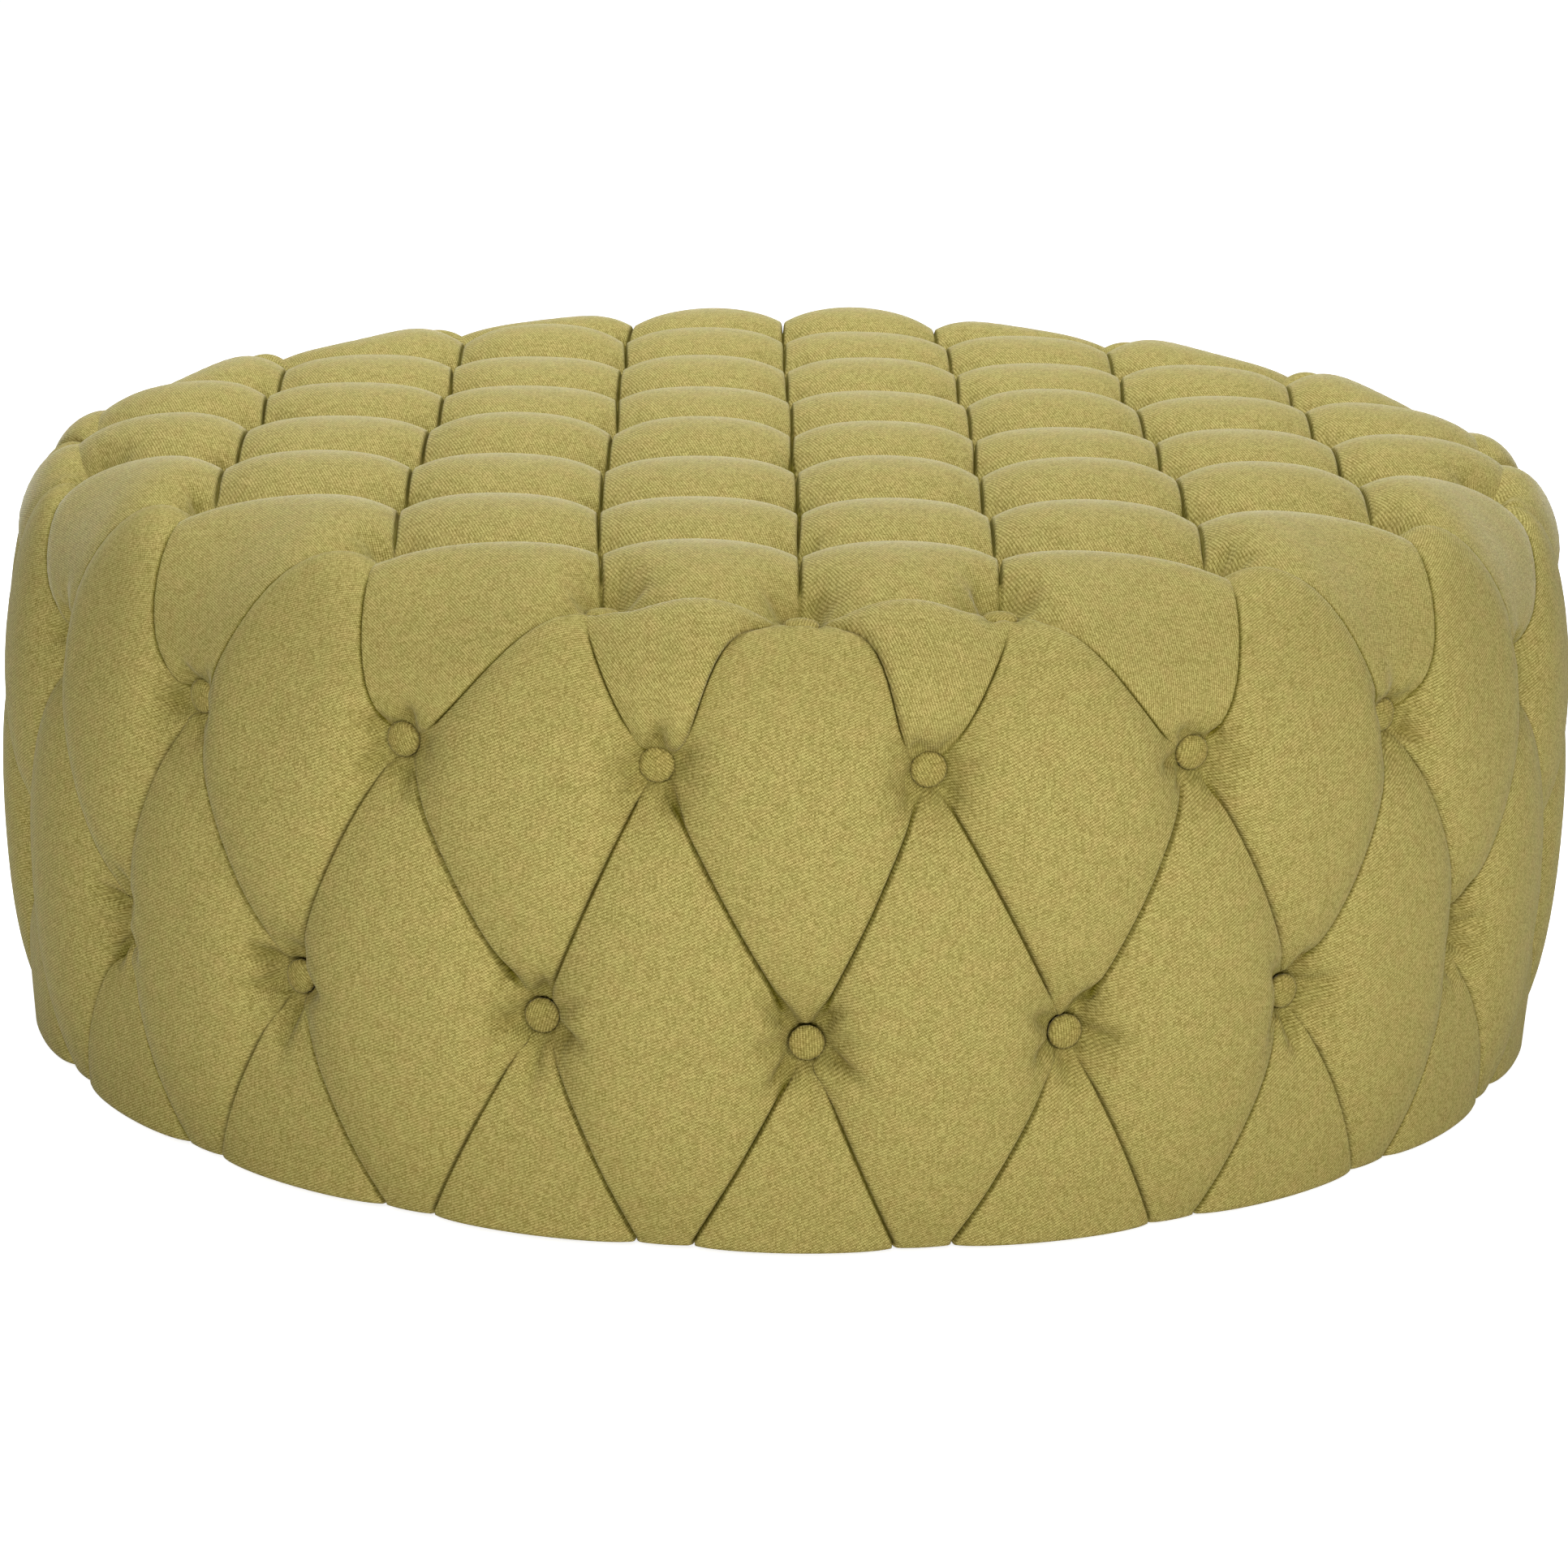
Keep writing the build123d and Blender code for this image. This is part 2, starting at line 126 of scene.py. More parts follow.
def smooth_step(x):
    x = np.clip(x, 0, 1)
    return x * x * (3 - 2 * x)


def on_drum(angle, radius, level):
    return np.array([radius * math.cos(angle), radius * math.sin(angle), level])


def swelling(points):
    """The direction in which the padding swells at each point of the drum."""
    radius = np.hypot(points[:, 0], points[:, 1])
    held = np.minimum(radius, SKELETON_RADIUS)
    share = np.where(radius > 0, held / np.maximum(radius, 1e-9), 0)
    foot = np.stack([points[:, 0] * share, points[:, 1] * share, np.minimum(points[:, 2], SKELETON_TOP)], 1)
    away = points - foot
    return away / np.maximum(np.linalg.norm(away, axis=1), 1e-9)[:, None]


def unrolled(points):
    """How far a point lies from the middle of the top, measured over the shoulder and down the side."""
    radius = np.hypot(points[:, 0], points[:, 1])
    held = np.minimum(radius, SKELETON_RADIUS)
    top = np.minimum(points[:, 2], SKELETON_TOP)
    turn = np.arctan2(radius - held, np.maximum(points[:, 2] - top, 1e-9))
    return held + SHOULDER_ROUND * turn + (SKELETON_TOP - top)


# ---- where the tufts are ----

def is_tuft(i, j):
    return i * i + j * j <= REACH * REACH + 1


def is_inner(i, j):
    return all(is_tuft(i + a, j + b) for a, b in ((1, 0), (-1, 0), (0, 1), (0, -1)))


PLACES = range(-REACH, REACH + 1)
GRID = [(i, j) for i in PLACES for j in PLACES if is_tuft(i, j)]
SHOULDER = sorted((c for c in GRID if not is_inner(*c)), key=lambda c: math.atan2(c[1], c[0]) % (2 * math.pi))


def grid_tuft(i, j):
    spot = np.array([i * PITCH, j * PITCH, 0.0])
    length = np.linalg.norm(spot)
    level = TUFT_LEVEL
    if length > SHOULDER_LIMIT:
        spot *= SHOULDER_LIMIT / length
    if not is_inner(i, j):
        level -= SHOULDER_TUFT_DROP
    wide = INNER_STRAY if is_inner(i, j) else SHOULDER_STRAY
    stray = chance.uniform(-1, 1, 3) * (wide, wide, LEVEL_STRAY)
    return spot + UP * level + stray


# How far, in millimetres, the buttons at the front stand from their even places: along the side, and in height
FRONT_STRAYS = {
    "upper": {13: (0, 1), 14: (-2.4, 1.1), 15: (-4.6, 1), 16: (1, 0)},
    "lower": {13: (1.5, -3), 14: (9, 0), 15: (7.3, -6), 16: (4, -6.6), 17: (1, -4)},
}


def side_tuft(row, column, angle, level):
    point = on_drum(angle, TUFT_RADIUS + chance.uniform(-1, 1) * SIDE_DEPTH_STRAY, level)
    side = np.array([-math.sin(angle), math.cos(angle), 0.0])
    across, rise = (chance.uniform(-most, most) for most in (SIDE_STRAY_MM, SIDE_RISE_STRAY_MM))
    if column in FRONT_STRAYS[row]:
        across, rise = FRONT_STRAYS[row][column]
    return point + side * across * MM + UP * rise * MM


TOP_TUFTS = {c: grid_tuft(*c) for c in GRID}
UPPER = [side_tuft("upper", k, (k + 0.5) * COLUMN_ANGLE, UPPER_LEVEL) for k in range(COLUMNS)]
LOWER = [side_tuft("lower", k, k * COLUMN_ANGLE, LOWER_LEVEL) for k in range(COLUMNS)]
SIDE_TUFTS = [*UPPER, *LOWER]
ALL_TUFTS = [*TOP_TUFTS.values(), *SIDE_TUFTS]
HEM_MEETING = [
    on_drum((k + 0.5) * COLUMN_ANGLE + chance.uniform(-HEM_TURN_STRAY, HEM_TURN_STRAY), HEM_MEETING_RADIUS,
            -FOLD_MEETING_DEPTH)
    for k in range(COLUMNS)
]
HEM_POINT = [on_drum(k * COLUMN_ANGLE, HEM_POINT_RADIUS, -FOLD_MEETING_DEPTH - HEM_FOLD_DROP) for k in range(COLUMNS)]


def shoulder_tuft(k):
    return TOP_TUFTS[SHOULDER[k % COLUMNS]]


# ---- folds between tufts, and the cells between folds ----

folds = {}


def fold(start, end, lift, direction, kind):
    """Control points of the pleat between two tufts. Both cells beside it get the same ones."""
    key, back = (tuple(start), tuple(end)), (tuple(end), tuple(start))
    if back in folds:
        return folds[back][0][::-1]
    if key not in folds:
        along = end - start
        near, far = start + along / 3, start + along * 2 / 3
        across = unit(np.cross(along, direction((start + end) / 2)))
        near, far = (p + direction(p) * lift + across * chance.uniform(-FOLD_STRAY_MM, FOLD_STRAY_MM) * MM
                     for p in (near, far))
        folds[key] = (np.array([start, near, far, end]), kind)
    return folds[key][0]


def top_fold(a, b):
    across = abs(unit(b - a)[0])
    depth = TOP_PLEAT_DEPTH + ROW_EXTRA_DEPTH * across
    return fold(a, b, (HEIGHT - TUFT_LEVEL - depth) / FOLD_MIDDLE_SHARE, upward, "top")


def side_fold(a, b):
    return fold(a, b, (RADIUS - TUFT_RADIUS - SIDE_PLEAT_DEPTH) / FOLD_MIDDLE_SHARE, outward, "side")


def angle_near(p, middle):
    """The angle of a point round the drum, within half a turn of the given one."""
    return middle + (math.atan2(p[1], p[0]) - middle + math.pi) % (2 * math.pi) - math.pi


def on_shoulder(angle, radius=None, level=None):
    """A point of the seam's rounded path over the shoulder, at the given radius or level."""
    if level is None:
        level = SKELETON_TOP + math.sqrt(SEAM_ROUND ** 2 - (radius - SKELETON_RADIUS) ** 2)
    else:
        radius = SKELETON_RADIUS + math.sqrt(SEAM_ROUND ** 2 - (level - SKELETON_TOP) ** 2)
    return on_drum(angle, radius, level)


def seam_fold(k, side):
    """The seam from a shoulder tuft, out over the diamond's blunt rim and down to the upper button on one side."""
    start, end = shoulder_tuft(k), UPPER[(k if side > 0 else k - 1) % COLUMNS]
    key = ("seam", k % COLUMNS, side)
    if key not in folds:
        column = k * COLUMN_ANGLE
        aside = angle_near(start, column) - column
        half = RIM_HALF_ANGLE + FRONT_RIMS.get(k % COLUMNS, 0) - RIM_NARROWING * abs(aside)
        half *= chance.uniform(1 - RIM_STRAY_SHARE, 1 + RIM_STRAY_SHARE)
        rim_angle = column + aside * RIM_ASIDE_SHARE + side * half
        rim = on_shoulder(rim_angle, radius=RIM_PULL * math.hypot(start[0], start[1]) + RIM_SETBACK)
        middle_angle = rim_angle + (angle_near(end, column) - rim_angle) * MIDDLE_ANGLE_SHARE
        middle = on_shoulder(middle_angle, level=rim[2] + (end[2] - rim[2]) * MIDDLE_HEIGHT_SHARE)
        shares = bernstein((RIM_PLACE, MIDDLE_PLACE))
        wanted = np.array([rim, middle]) - shares[:, [0, 3]] @ np.array([start, end])
        near, far = np.linalg.solve(shares[:, 1:3], wanted)
        folds[key] = (np.array([start, near, far, end]), "seam")
    return folds[key][0]


def rising(p):
    """The direction that the shoulder swells in, halfway over it."""
    return unit(LINE_OUT * outward(p) + LINE_UP * UP)


def shoulder_line(a, b):
    """The edge between a square cell and its tongue: a line in the cloth, with no pleat."""
    return fold(a, b, LINE_LIFT, rising, "line")


def control_net(first, right, last, left):
    """Control points between four folds: first and last run the same way, and so do left and right."""
    net = np.zeros((4, 4, 3))
    net[0], net[3] = left, right
    for i in (1, 2):
        net[i, 0], net[i, 3] = first[i], last[i]
        for j in (1, 2):
            across = left[j] + (right[j] - left[j]) * i / 3
            along = first[i] + (last[i] - first[i]) * j / 3
            net[i, j] = (across + along) / 2
    return net


def lift_middle(net, lift, direction):
    for i in (1, 2):
        for j in (1, 2):
            net[i, j] = net[i, j] + direction(net[i, j]) * lift
    return net


def bernstein(t):
    t = np.asarray(t, float)
    return np.stack([(1 - t) ** 3, 3 * t * (1 - t) ** 2, 3 * t * t * (1 - t), t ** 3], -1)


def surface(net, u, v):
    return np.einsum("ui,vj,ijk->uvk", bernstein(u), bernstein(v), net)


def puff_top(net, level):
    """Lifts a net so that its middle reaches a level."""
    return lift_middle(net, (level - surface(net, [0.5], [0.5])[0, 0, 2]) / PATCH_MIDDLE_SHARE, upward)


def puff_side(net, radius):
    """Pushes a net out so that its middle reaches a radius."""
    middle = surface(net, [0.5], [0.5])[0, 0]
    return lift_middle(net, (radius - math.hypot(middle[0], middle[1])) / PATCH_MIDDLE_SHARE, outward)


def square_net(corners):
    """A square cell of the top between four tufts."""
    a, b, c, d = (TOP_TUFTS[x] for x in corners)
    on_ring = [x in SHOULDER for x in corners]

    def edge(p, q, both):
        return shoulder_line(p, q) if both else top_fold(p, q)

    net = control_net(
        edge(a, b, on_ring[0] and on_ring[1]),
        edge(b, c, on_ring[1] and on_ring[2]),
        edge(d, c, on_ring[3] and on_ring[2]),
        edge(a, d, on_ring[0] and on_ring[3]),
    )
    crown = HEIGHT + chance.uniform(*TOP_CROWNS_MM) * MM - (SHOULDER_CELL_DROP if sum(on_ring) > 1 else 0)
    return puff_top(net, crown)


def shoulder_rows(net, start, end):
    """The edge row of a square cell's net that runs from start to end, with the row beside it."""
    turned = net.transpose(1, 0, 2)
    options = []
    for rows in (net, net[::-1], turned, turned[::-1]):
        options.append((rows[0], rows[1]))
        options.append((rows[0][::-1], rows[1][::-1]))
    return min(options, key=lambda r: np.linalg.norm(r[0][0] - start) + np.linalg.norm(r[0][3] - end))


def tongue(net, k):
    """The point of the top panel that runs over the shoulder to an upper button."""
    start, end, button = shoulder_tuft(k), shoulder_tuft(k + 1), UPPER[k]
    left_seam, right_seam = seam_fold(k, 1), seam_fold(k + 1, -1)
    line, inner_row = shoulder_rows(net, start, end)
    made = np.zeros((4, 4, 3))
    made[0] = line
    made[3] = button
    for row in (1, 2):
        made[row, 0], made[row, 3] = left_seam[row], right_seam[row]
    for i in (1, 2):
        made[1, i] = 2 * line[i] - inner_row[i]
        middle = left_seam[2] + (right_seam[2] - left_seam[2]) * i / 3
        made[2, i] = middle + over_shoulder(middle) * TONGUE_CROWN
    return made


def shoulder_gap(first_cell, second_cell, k):
    """The cell where the tuft grid steps in: it runs from an inner tuft over the shoulder to an upper button."""
    corners = (first_cell[0], second_cell[1]), (second_cell[0], first_cell[1])
    inner = TOP_TUFTS[min(corners, key=lambda c: math.hypot(*c))]
    first, second = TOP_TUFTS[first_cell], TOP_TUFTS[second_cell]
    net = control_net(top_fold(inner, first), seam_fold(k, 1), seam_fold(k + 1, -1), top_fold(inner, second))
    return lift_middle(net, SHOULDER_CROWN, over_shoulder)


def square_under(squares, first_cell, second_cell):
    """The square cell whose outer edge lies between two shoulder tufts."""
    low = [min(first_cell[n], second_cell[n]) for n in (0, 1)]
    for n in (0, 1):
        if first_cell[n] == second_cell[n] and first_cell[n] > 0:
            low[n] -= 1
    return squares[tuple(low)]


def top_cells():
    """Nets of the top's cells: the squares, then all that lies over the shoulder."""
    squares = {}
    for i in range(-REACH, REACH):
        for j in range(-REACH, REACH):
            corners = ((i, j), (i + 1, j), (i + 1, j + 1), (i, j + 1))
            if all(is_tuft(*c) for c in corners):
                squares[i, j] = square_net(corners)
    nets = list(squares.values())
    for k in range(COLUMNS):
        a, b = SHOULDER[k], SHOULDER[(k + 1) % COLUMNS]
        if a[0] == b[0] or a[1] == b[1]:
            nets.append(tongue(square_under(squares, a, b), k))
        else:
            nets.append(shoulder_gap(a, b, k))
    return nets


def side_diamond(top, right, bottom, left, setback=0.0):
    net = control_net(side_fold(top, right), side_fold(right, bottom), side_fold(left, bottom), side_fold(top, left))
    return puff_side(net, RADIUS - setback + chance.uniform(*SIDE_CROWNS_MM) * MM)


def side_cells():
    """Nets of the side's diamonds, three for each column: blunt at the shoulder, whole, and cut off by the hem."""
    nets = []
    for k in range(COLUMNS):
        lower, before, after = LOWER[k], UPPER[k - 1], UPPER[k]
        net = control_net(seam_fold(k, 1), side_fold(after, lower), side_fold(before, lower), seam_fold(k, -1))
        for i, j, share in RIM_CORNER_SHARES:
            net[i, j] = net[i, j] + (UP * RIM_LIFT - outward(net[i, j]) * RIM_HOLD) * share
        nets.append(puff_side(net, RADIUS - SHOULDER_SWELL + chance.uniform(*SIDE_CROWNS_MM) * MM))
        nets.append(side_diamond(after, LOWER[(k + 1) % COLUMNS], HEM_MEETING[k], lower))
        nets.append(side_diamond(lower, HEM_MEETING[k], HEM_POINT[k], HEM_MEETING[k - 1], HEM_SETBACK))
    return nets


# ---- how the padding fills its cells ----

FULL_SHARE = {"top": 0.12, "side": 0.15}
FOLD_RISE = {"top": HEIGHT - TUFT_LEVEL - TOP_PLEAT_DEPTH, "side": RADIUS - TUFT_RADIUS - SIDE_PLEAT_DEPTH}
PLEAT_RISE = 2.5 * MM


def arch(t):
    return 4 * t * (1 - t)


def filled(t):
    """How much fuller than a plain arch the padding may stand at each place along it."""
    return arch(t) * (1 - arch(t))


def fold_label(controls):
    """The same label for a fold's control points in either order."""
    ends = sorted((tuple(np.round(controls[0], 7)), tuple(np.round(controls[3], 7))))
    return (*ends[0], *ends[1])


def extra_rise(kind):
    return FOLD_RISE.get(kind, 0.0) * FULL_SHARE.get(kind, 0.0)


def rise_of(row):
    """How far fuller than an arch the pleat along an edge row of a net is."""
    return extra_rise(fold_kinds.get(fold_label(row)))


def edge_rows(grid):
    return grid[:, 0], grid[:, -1], grid[0], grid[-1]


def fullness(net, places):
    """How far a cell swells past its net, as a height for each pair of places."""
    places = np.asarray(places, float)
    u, v = places[:, None], places[None, :]
    edges = [rise_of(row) for row in edge_rows(net)]
    rise = filled(u) * ((1 - v) * edges[0] + v * edges[1]) + filled(v) * ((1 - u) * edges[2] + u * edges[3])
    plain = arch(u) * arch(v)
    full = (1 - (1 - arch(u)) ** 2) * (1 - (1 - arch(v)) ** 2)
    return rise + PLEAT_RISE * (full - plain)


# ---- meshes from cells ----

# Steps from a cell's edge to its middle, fine beside the pleat and as far as the gathers reach
HALF_STEPS = (5, 6, 8, 11, 14, 16, 16, 16, 16, 17, 18, 20, 23, 30, 40, 50, 60, 65, 69)
WELD_STEP = 2e-6
MIDDLE_PLACES = (0.45, 0.55)


def welded(nets, places, moved=None):
    """Vertices and faces of cells that share their edges, each face's cell and each grid point's vertex."""
    count = len(places)
    grids = []
    for n, net in enumerate(nets):
        grid = surface(net, places, places)
        out = swelling(grid.reshape(-1, 3)).reshape(grid.shape)
        grid = grid + out * fullness(net, places)[:, :, None]
        if moved is not None:
            grid = grid + moved[n]
        grids.append(grid)
    points = np.concatenate([g.reshape(-1, 3) for g in grids])
    rest = np.concatenate([surface(net, places, places).reshape(-1, 3) for net in nets])
    keys = np.round(rest / WELD_STEP).astype(np.int64)
    _, first, index = np.unique(keys, axis=0, return_index=True, return_inverse=True)
    index = index.ravel()
    sums = np.zeros((len(first), 3))
    np.add.at(sums, index, points)
    vertices = sums / np.bincount(index)[:, None]
    faces, cell_of = [], []
    for n, net in enumerate(nets):
        base = n * count * count
        ids = index[base:base + count * count].reshape(count, count)
        middle = surface(net, MIDDLE_PLACES, MIDDLE_PLACES)
        normal = np.cross(middle[1, 0] - middle[0, 0], middle[0, 1] - middle[0, 0])
        flip = normal @ swelling(middle[0, 0][None])[0] < 0
        for i in range(count - 1):
            for j in range(count - 1):
                ring = [ids[i, j], ids[i + 1, j], ids[i + 1, j + 1], ids[i, j + 1]]
                if flip:
                    ring.reverse()
                ring = [a for a, b in zip(ring, ring[1:] + ring[:1]) if a != b]
                if len(ring) > 2:
                    faces.append(ring)
                    cell_of.append(n)
    return vertices, faces, cell_of, index


def read(items, name, width=1, kind=float):
    """One value, or a row of them, for each item of a mesh."""
    values = np.zeros(len(items) * width, kind)
    items.foreach_get(name, values)
    return values.reshape(-1, width) if width > 1 else values


def vertex_places(obj):
    return read(obj.data.vertices, "co", 3)


def mesh_object(name, vertices, faces):
    mesh = bpy.data.meshes.new(name)
    mesh.from_pydata([tuple(v) for v in vertices], [], [list(map(int, f)) for f in faces])
    mesh.update()
    obj = bpy.data.objects.new(name, mesh)
    bpy.context.scene.collection.objects.link(obj)
    return obj


# ---- the cover, blown up as cloth that is held along its folds ----

SIM_STEPS = 15
SIM_FRAMES = 20
MOST_MOVE = 7 * MM
SURPLUS_REACH, SURPLUS_START = 45 * MM, 1.4
CLOTH_SETTINGS = {
    "quality": 5, "mass": 0.2, "tension_stiffness": 18, "compression_stiffness": 12, "shear_stiffness": 6,
    "bending_stiffness": 0.35, "air_damping": 2, "vertex_group_mass": "pins", "pin_stiffness": 1.0,
    "use_pressure": True, "uniform_pressure_force": 4.0, "vertex_group_shrink": "surplus", "shrink_min": 0.0,
    "shrink_max": -0.06,
}


def held_places(nets, spots, index):
    """Which vertices of the cloth its pleats and seams hold."""
    count = len(spots)
    held = np.zeros(index.max() + 1, bool)
    for n, net in enumerate(nets):
        ids = index[n * count * count:(n + 1) * count * count].reshape(count, count)
        for row, line in zip(edge_rows(net), edge_rows(ids)):
            if fold_kinds.get(fold_label(row)) != "line":
                held[line] = True
    return held


def blown_up(obj, held, surplus):
    """The vertices of the cloth after its simulation."""
    pins = obj.vertex_groups.new(name="pins")
    pins.add([int(n) for n in np.flatnonzero(held)], 1.0, "REPLACE")
    loose = obj.vertex_groups.new(name="surplus")
    for n, share in enumerate(surplus):
        loose.add([n], float(share), "REPLACE")
    cloth = obj.modifiers.new("cloth", "CLOTH")
    for name, value in CLOTH_SETTINGS.items():
        setattr(cloth.settings, name, value)
    cloth.settings.effector_weights.gravity = 0.0
    cloth.collision_settings.use_collision = False
    cloth.collision_settings.use_self_collision = False
    cloth.point_cache.frame_start = 1
    cloth.point_cache.frame_end = SIM_FRAMES
    for frame_number in range(1, SIM_FRAMES + 1):
        bpy.context.scene.frame_set(frame_number)
    done = vertex_places(obj.evaluated_get(bpy.context.evaluated_depsgraph_get()))
    bpy.context.scene.frame_set(1)
    return done


def between(spots, places):
    """Weights that carry values at evenly spaced spots to other places along a smooth curve."""
    last = len(spots) - 1
    weights = np.zeros((len(places), last + 1))
    for row, place in enumerate(places):
        first = min(int(place * last), last - 1)
        t = place * last - first
        shares = (-0.5 * t + t ** 2 - 0.5 * t ** 3, 1 - 2.5 * t ** 2 + 1.5 * t ** 3,
                  0.5 * t + 2 * t ** 2 - 1.5 * t ** 3, -0.5 * t ** 2 + 0.5 * t ** 3)
        for step, share in zip((-1, 0, 1, 2), shares):
            weights[row, min(max(first + step, 0), last)] += share
    return weights


def cloth_moves(nets):
    """How far the simulated cover moves from its drawn form, as a grid for each cell."""
    spots = np.arange(SIM_STEPS + 1) / SIM_STEPS
    vertices, faces, _, index = welded(nets, spots)
    away = np.min(np.linalg.norm(vertices[:, None] - np.array(ALL_TUFTS)[None], axis=2), axis=1)
    surplus = smooth_step(SURPLUS_START - away / SURPLUS_REACH)
    obj = mesh_object("cover_cloth", vertices, faces)
    moves = blown_up(obj, held_places(nets, spots, index), surplus) - vertices
    bpy.data.objects.remove(obj)
    lengths = np.linalg.norm(moves, axis=1)
    moves *= (np.tanh(lengths / MOST_MOVE) * MOST_MOVE / np.maximum(lengths, 1e-9))[:, None]
    weights = between(spots, places)
    count = len(spots)
    grids = moves[index].reshape(len(nets), count, count, 3)
    return np.einsum("ai,bj,nijk->nabk", weights, weights, grids)


# ---- creases along the pleats, and gathers round the buttons ----

# For each kind of pleat: how deep and wide its crease is, how far it stays clear of the buttons, and how wide
# the painted shade along it is
CREASES = {
    "top": (11 * MM, 2.1 * MM, 3 * MM, 2.5 * MM),
    "side": (7 * MM, 1.7 * MM, 9 * MM, 1.6 * MM),
    "seam": (1.8 * MM, 1.0 * MM, 6 * MM, 1.7 * MM),
}
CREASE_SAMPLES = 70
CREASE_WAVE, CREASE_WAVE_LENGTH = 0.25, 60 * MM
# How the painted shade along a crease fades in from its ends and falls off at its sides
SHADE_FADE, SHADE_POWER = 9 * MM, 1.4
# The seam's crease is left out along the diamond's rim
SEAM_SHOWN_FROM, SEAM_FADE = 0.24, 0.18
# The side's pleats face down: the cell below laps over the cell above
LEAN_ABOVE, LEAN_BELOW = 2.1, 0.7

TOP_PIT, TOP_PIT_REACH, TOP_DROP = 11 * MM, 17 * MM, 5.5 * MM
SIDE_PIT, SIDE_PIT_REACH, SIDE_DROP = 14 * MM, 24 * MM, 4.5 * MM
DROP_RADIUS, DROP_EDGE = 11.6 * MM, 1.6 * MM
# Painted shade round each button: a soft darkening, and darker rings at the button's rim
PIT_SHADE, PIT_SHADE_REACH = 0.5, 20 * MM
RING_SHADES = ((0.35, 13.5 * MM, 2.5 * MM), (0.65, 12 * MM, 1 * MM))


class FoldLines:
    """Points along all pleats and seams, with how deep and wide the crease is at each, and how much painted shade it
    gets.
    """

    def __init__(self):
        places = np.linspace(0, 1, CREASE_SAMPLES)
        points, values = [], []
        for controls, kind in folds.values():
            if kind not in CREASES:
                continue
            deep, wide, clear, shade_wide = CREASES[kind]
            line = bernstein(places) @ controls
            line = line + swelling(line) * (extra_rise(kind) * filled(places))[:, None]
            steps = np.linalg.norm(np.diff(line, axis=0), axis=1)
            run = np.concatenate([[0], np.cumsum(steps)])
            from_end = np.minimum(run, run[-1] - run)
            taper = smooth_step((from_end - clear) / (2 * clear))
            shown = smooth_step((places - SEAM_SHOWN_FROM) / SEAM_FADE) if kind == "seam" else 1.0
            wave = 1 + CREASE_WAVE * np.sin(2 * math.pi * (run / CREASE_WAVE_LENGTH + chance.uniform()))
            # Painted shade along the crease, faded in from its ends
            shade = smooth_step(from_end / SHADE_FADE) * shown
            points.append(line)
            values.append(np.broadcast_arrays(deep * taper * wave * shown, wide, shade, shade_wide, kind == "side"))
        self.points = np.concatenate(points)
        self.depth, self.width, self.shade, self.shade_width, self.leans = np.concatenate(values, axis=1)
        self.tree = kdtree.KDTree(len(self.points))
        for n, p in enumerate(self.points):
            self.tree.insert(p, n)
        self.tree.balance()

    def depths(self, vertices):
        """How far each vertex is drawn in by the nearest crease, and how much painted shade that crease puts on it.
        """
        near = np.array([self.tree.find(v)[1] for v in vertices])
        best = np.full(len(vertices), 1.0)
        deep = self.depth[near]
        above = np.zeros(len(vertices), bool)
        for side in (-1, 1):
            other = np.clip(near + side, 0, len(self.points) - 1)
            same = near // CREASE_SAMPLES == other // CREASE_SAMPLES
            a, b = self.points[near], self.points[other]
            along = b - a
            length = np.maximum(np.einsum("ij,ij->i", along, along), 1e-12)
            share = np.einsum("ij,ij->i", vertices - a, along) / length
            share = np.clip(np.where(same, share, 0), 0, 1)
            offset = vertices - a - along * share[:, None]
            distance = np.linalg.norm(offset, axis=1)
            better = distance < best
            above = np.where(better, offset[:, 2] > 0, above)
            deep = np.where(better, self.depth[near] * (1 - share) + self.depth[other] * share, deep)
            best = np.minimum(best, distance)
        spread = np.where(self.leans[near] > 0, np.where(above, LEAN_ABOVE, LEAN_BELOW), 1.0)
        into = np.clip(1 - best / (self.width[near] * spread), 0, 1)
        shade = np.clip(1 - best / self.shade_width[near], 0, 1) ** SHADE_POWER * self.shade[near]
        return deep * (1 - np.sqrt(np.maximum(1 - into * into, 0))), shade


def pits(vertices):
    """How far the cloth dives round each button, beyond the cells' own hollows."""
    deep = np.zeros(len(vertices))
    for tufts, pit, reach, drop in ((TOP_TUFTS.values(), TOP_PIT, TOP_PIT_REACH, TOP_DROP),
                                    (SIDE_TUFTS, SIDE_PIT, SIDE_PIT_REACH, SIDE_DROP)):
        for tuft in tufts:
            away = np.linalg.norm(vertices - tuft, axis=1)
            deep += pit * np.exp(-(away / reach) ** 2) + drop * smooth_step((DROP_RADIUS - away) / DROP_EDGE)
    return deep


def pit_shade(vertices):
    """How much painted shade the hollow round each button gets: a soft darkening, and darker rings at its rim."""
    away = np.min([np.linalg.norm(vertices - tuft, axis=1) for tuft in ALL_TUFTS], axis=0)
    ring = sum(share * smooth_step((radius - away) / edge) for share, radius, edge in RING_SHADES)
    return PIT_SHADE * np.exp(-(away / PIT_SHADE_REACH) ** 2) + ring


# For each row of tufts: how far its gathers run, and how strong they are
GATHERS = ((TOP_TUFTS.values(), 26 * MM, 3 * MM), (UPPER, 36 * MM, 6 * MM), (LOWER, 46 * MM, 9 * MM))
GATHER_COUNTS, GATHER_WIDTHS_MM = (5, 9), (3.2, 5.2)
SHORTEST_GATHER, FAINTEST_GATHER, GATHER_STRAY = 0.35, 0.3, 0.3
GATHER_START, GATHER_RISE, GATHER_WHOLE = 10 * MM, 6 * MM, 12 * MM
GATHER_SPREAD = 0.05
RIDGE_SHARE, RIDGE_PLACE, RIDGE_WIDTH = 0.35, 2.2, 1.5
# How much painted shade the deepest gathers get
GATHER_SHADE = 0.4


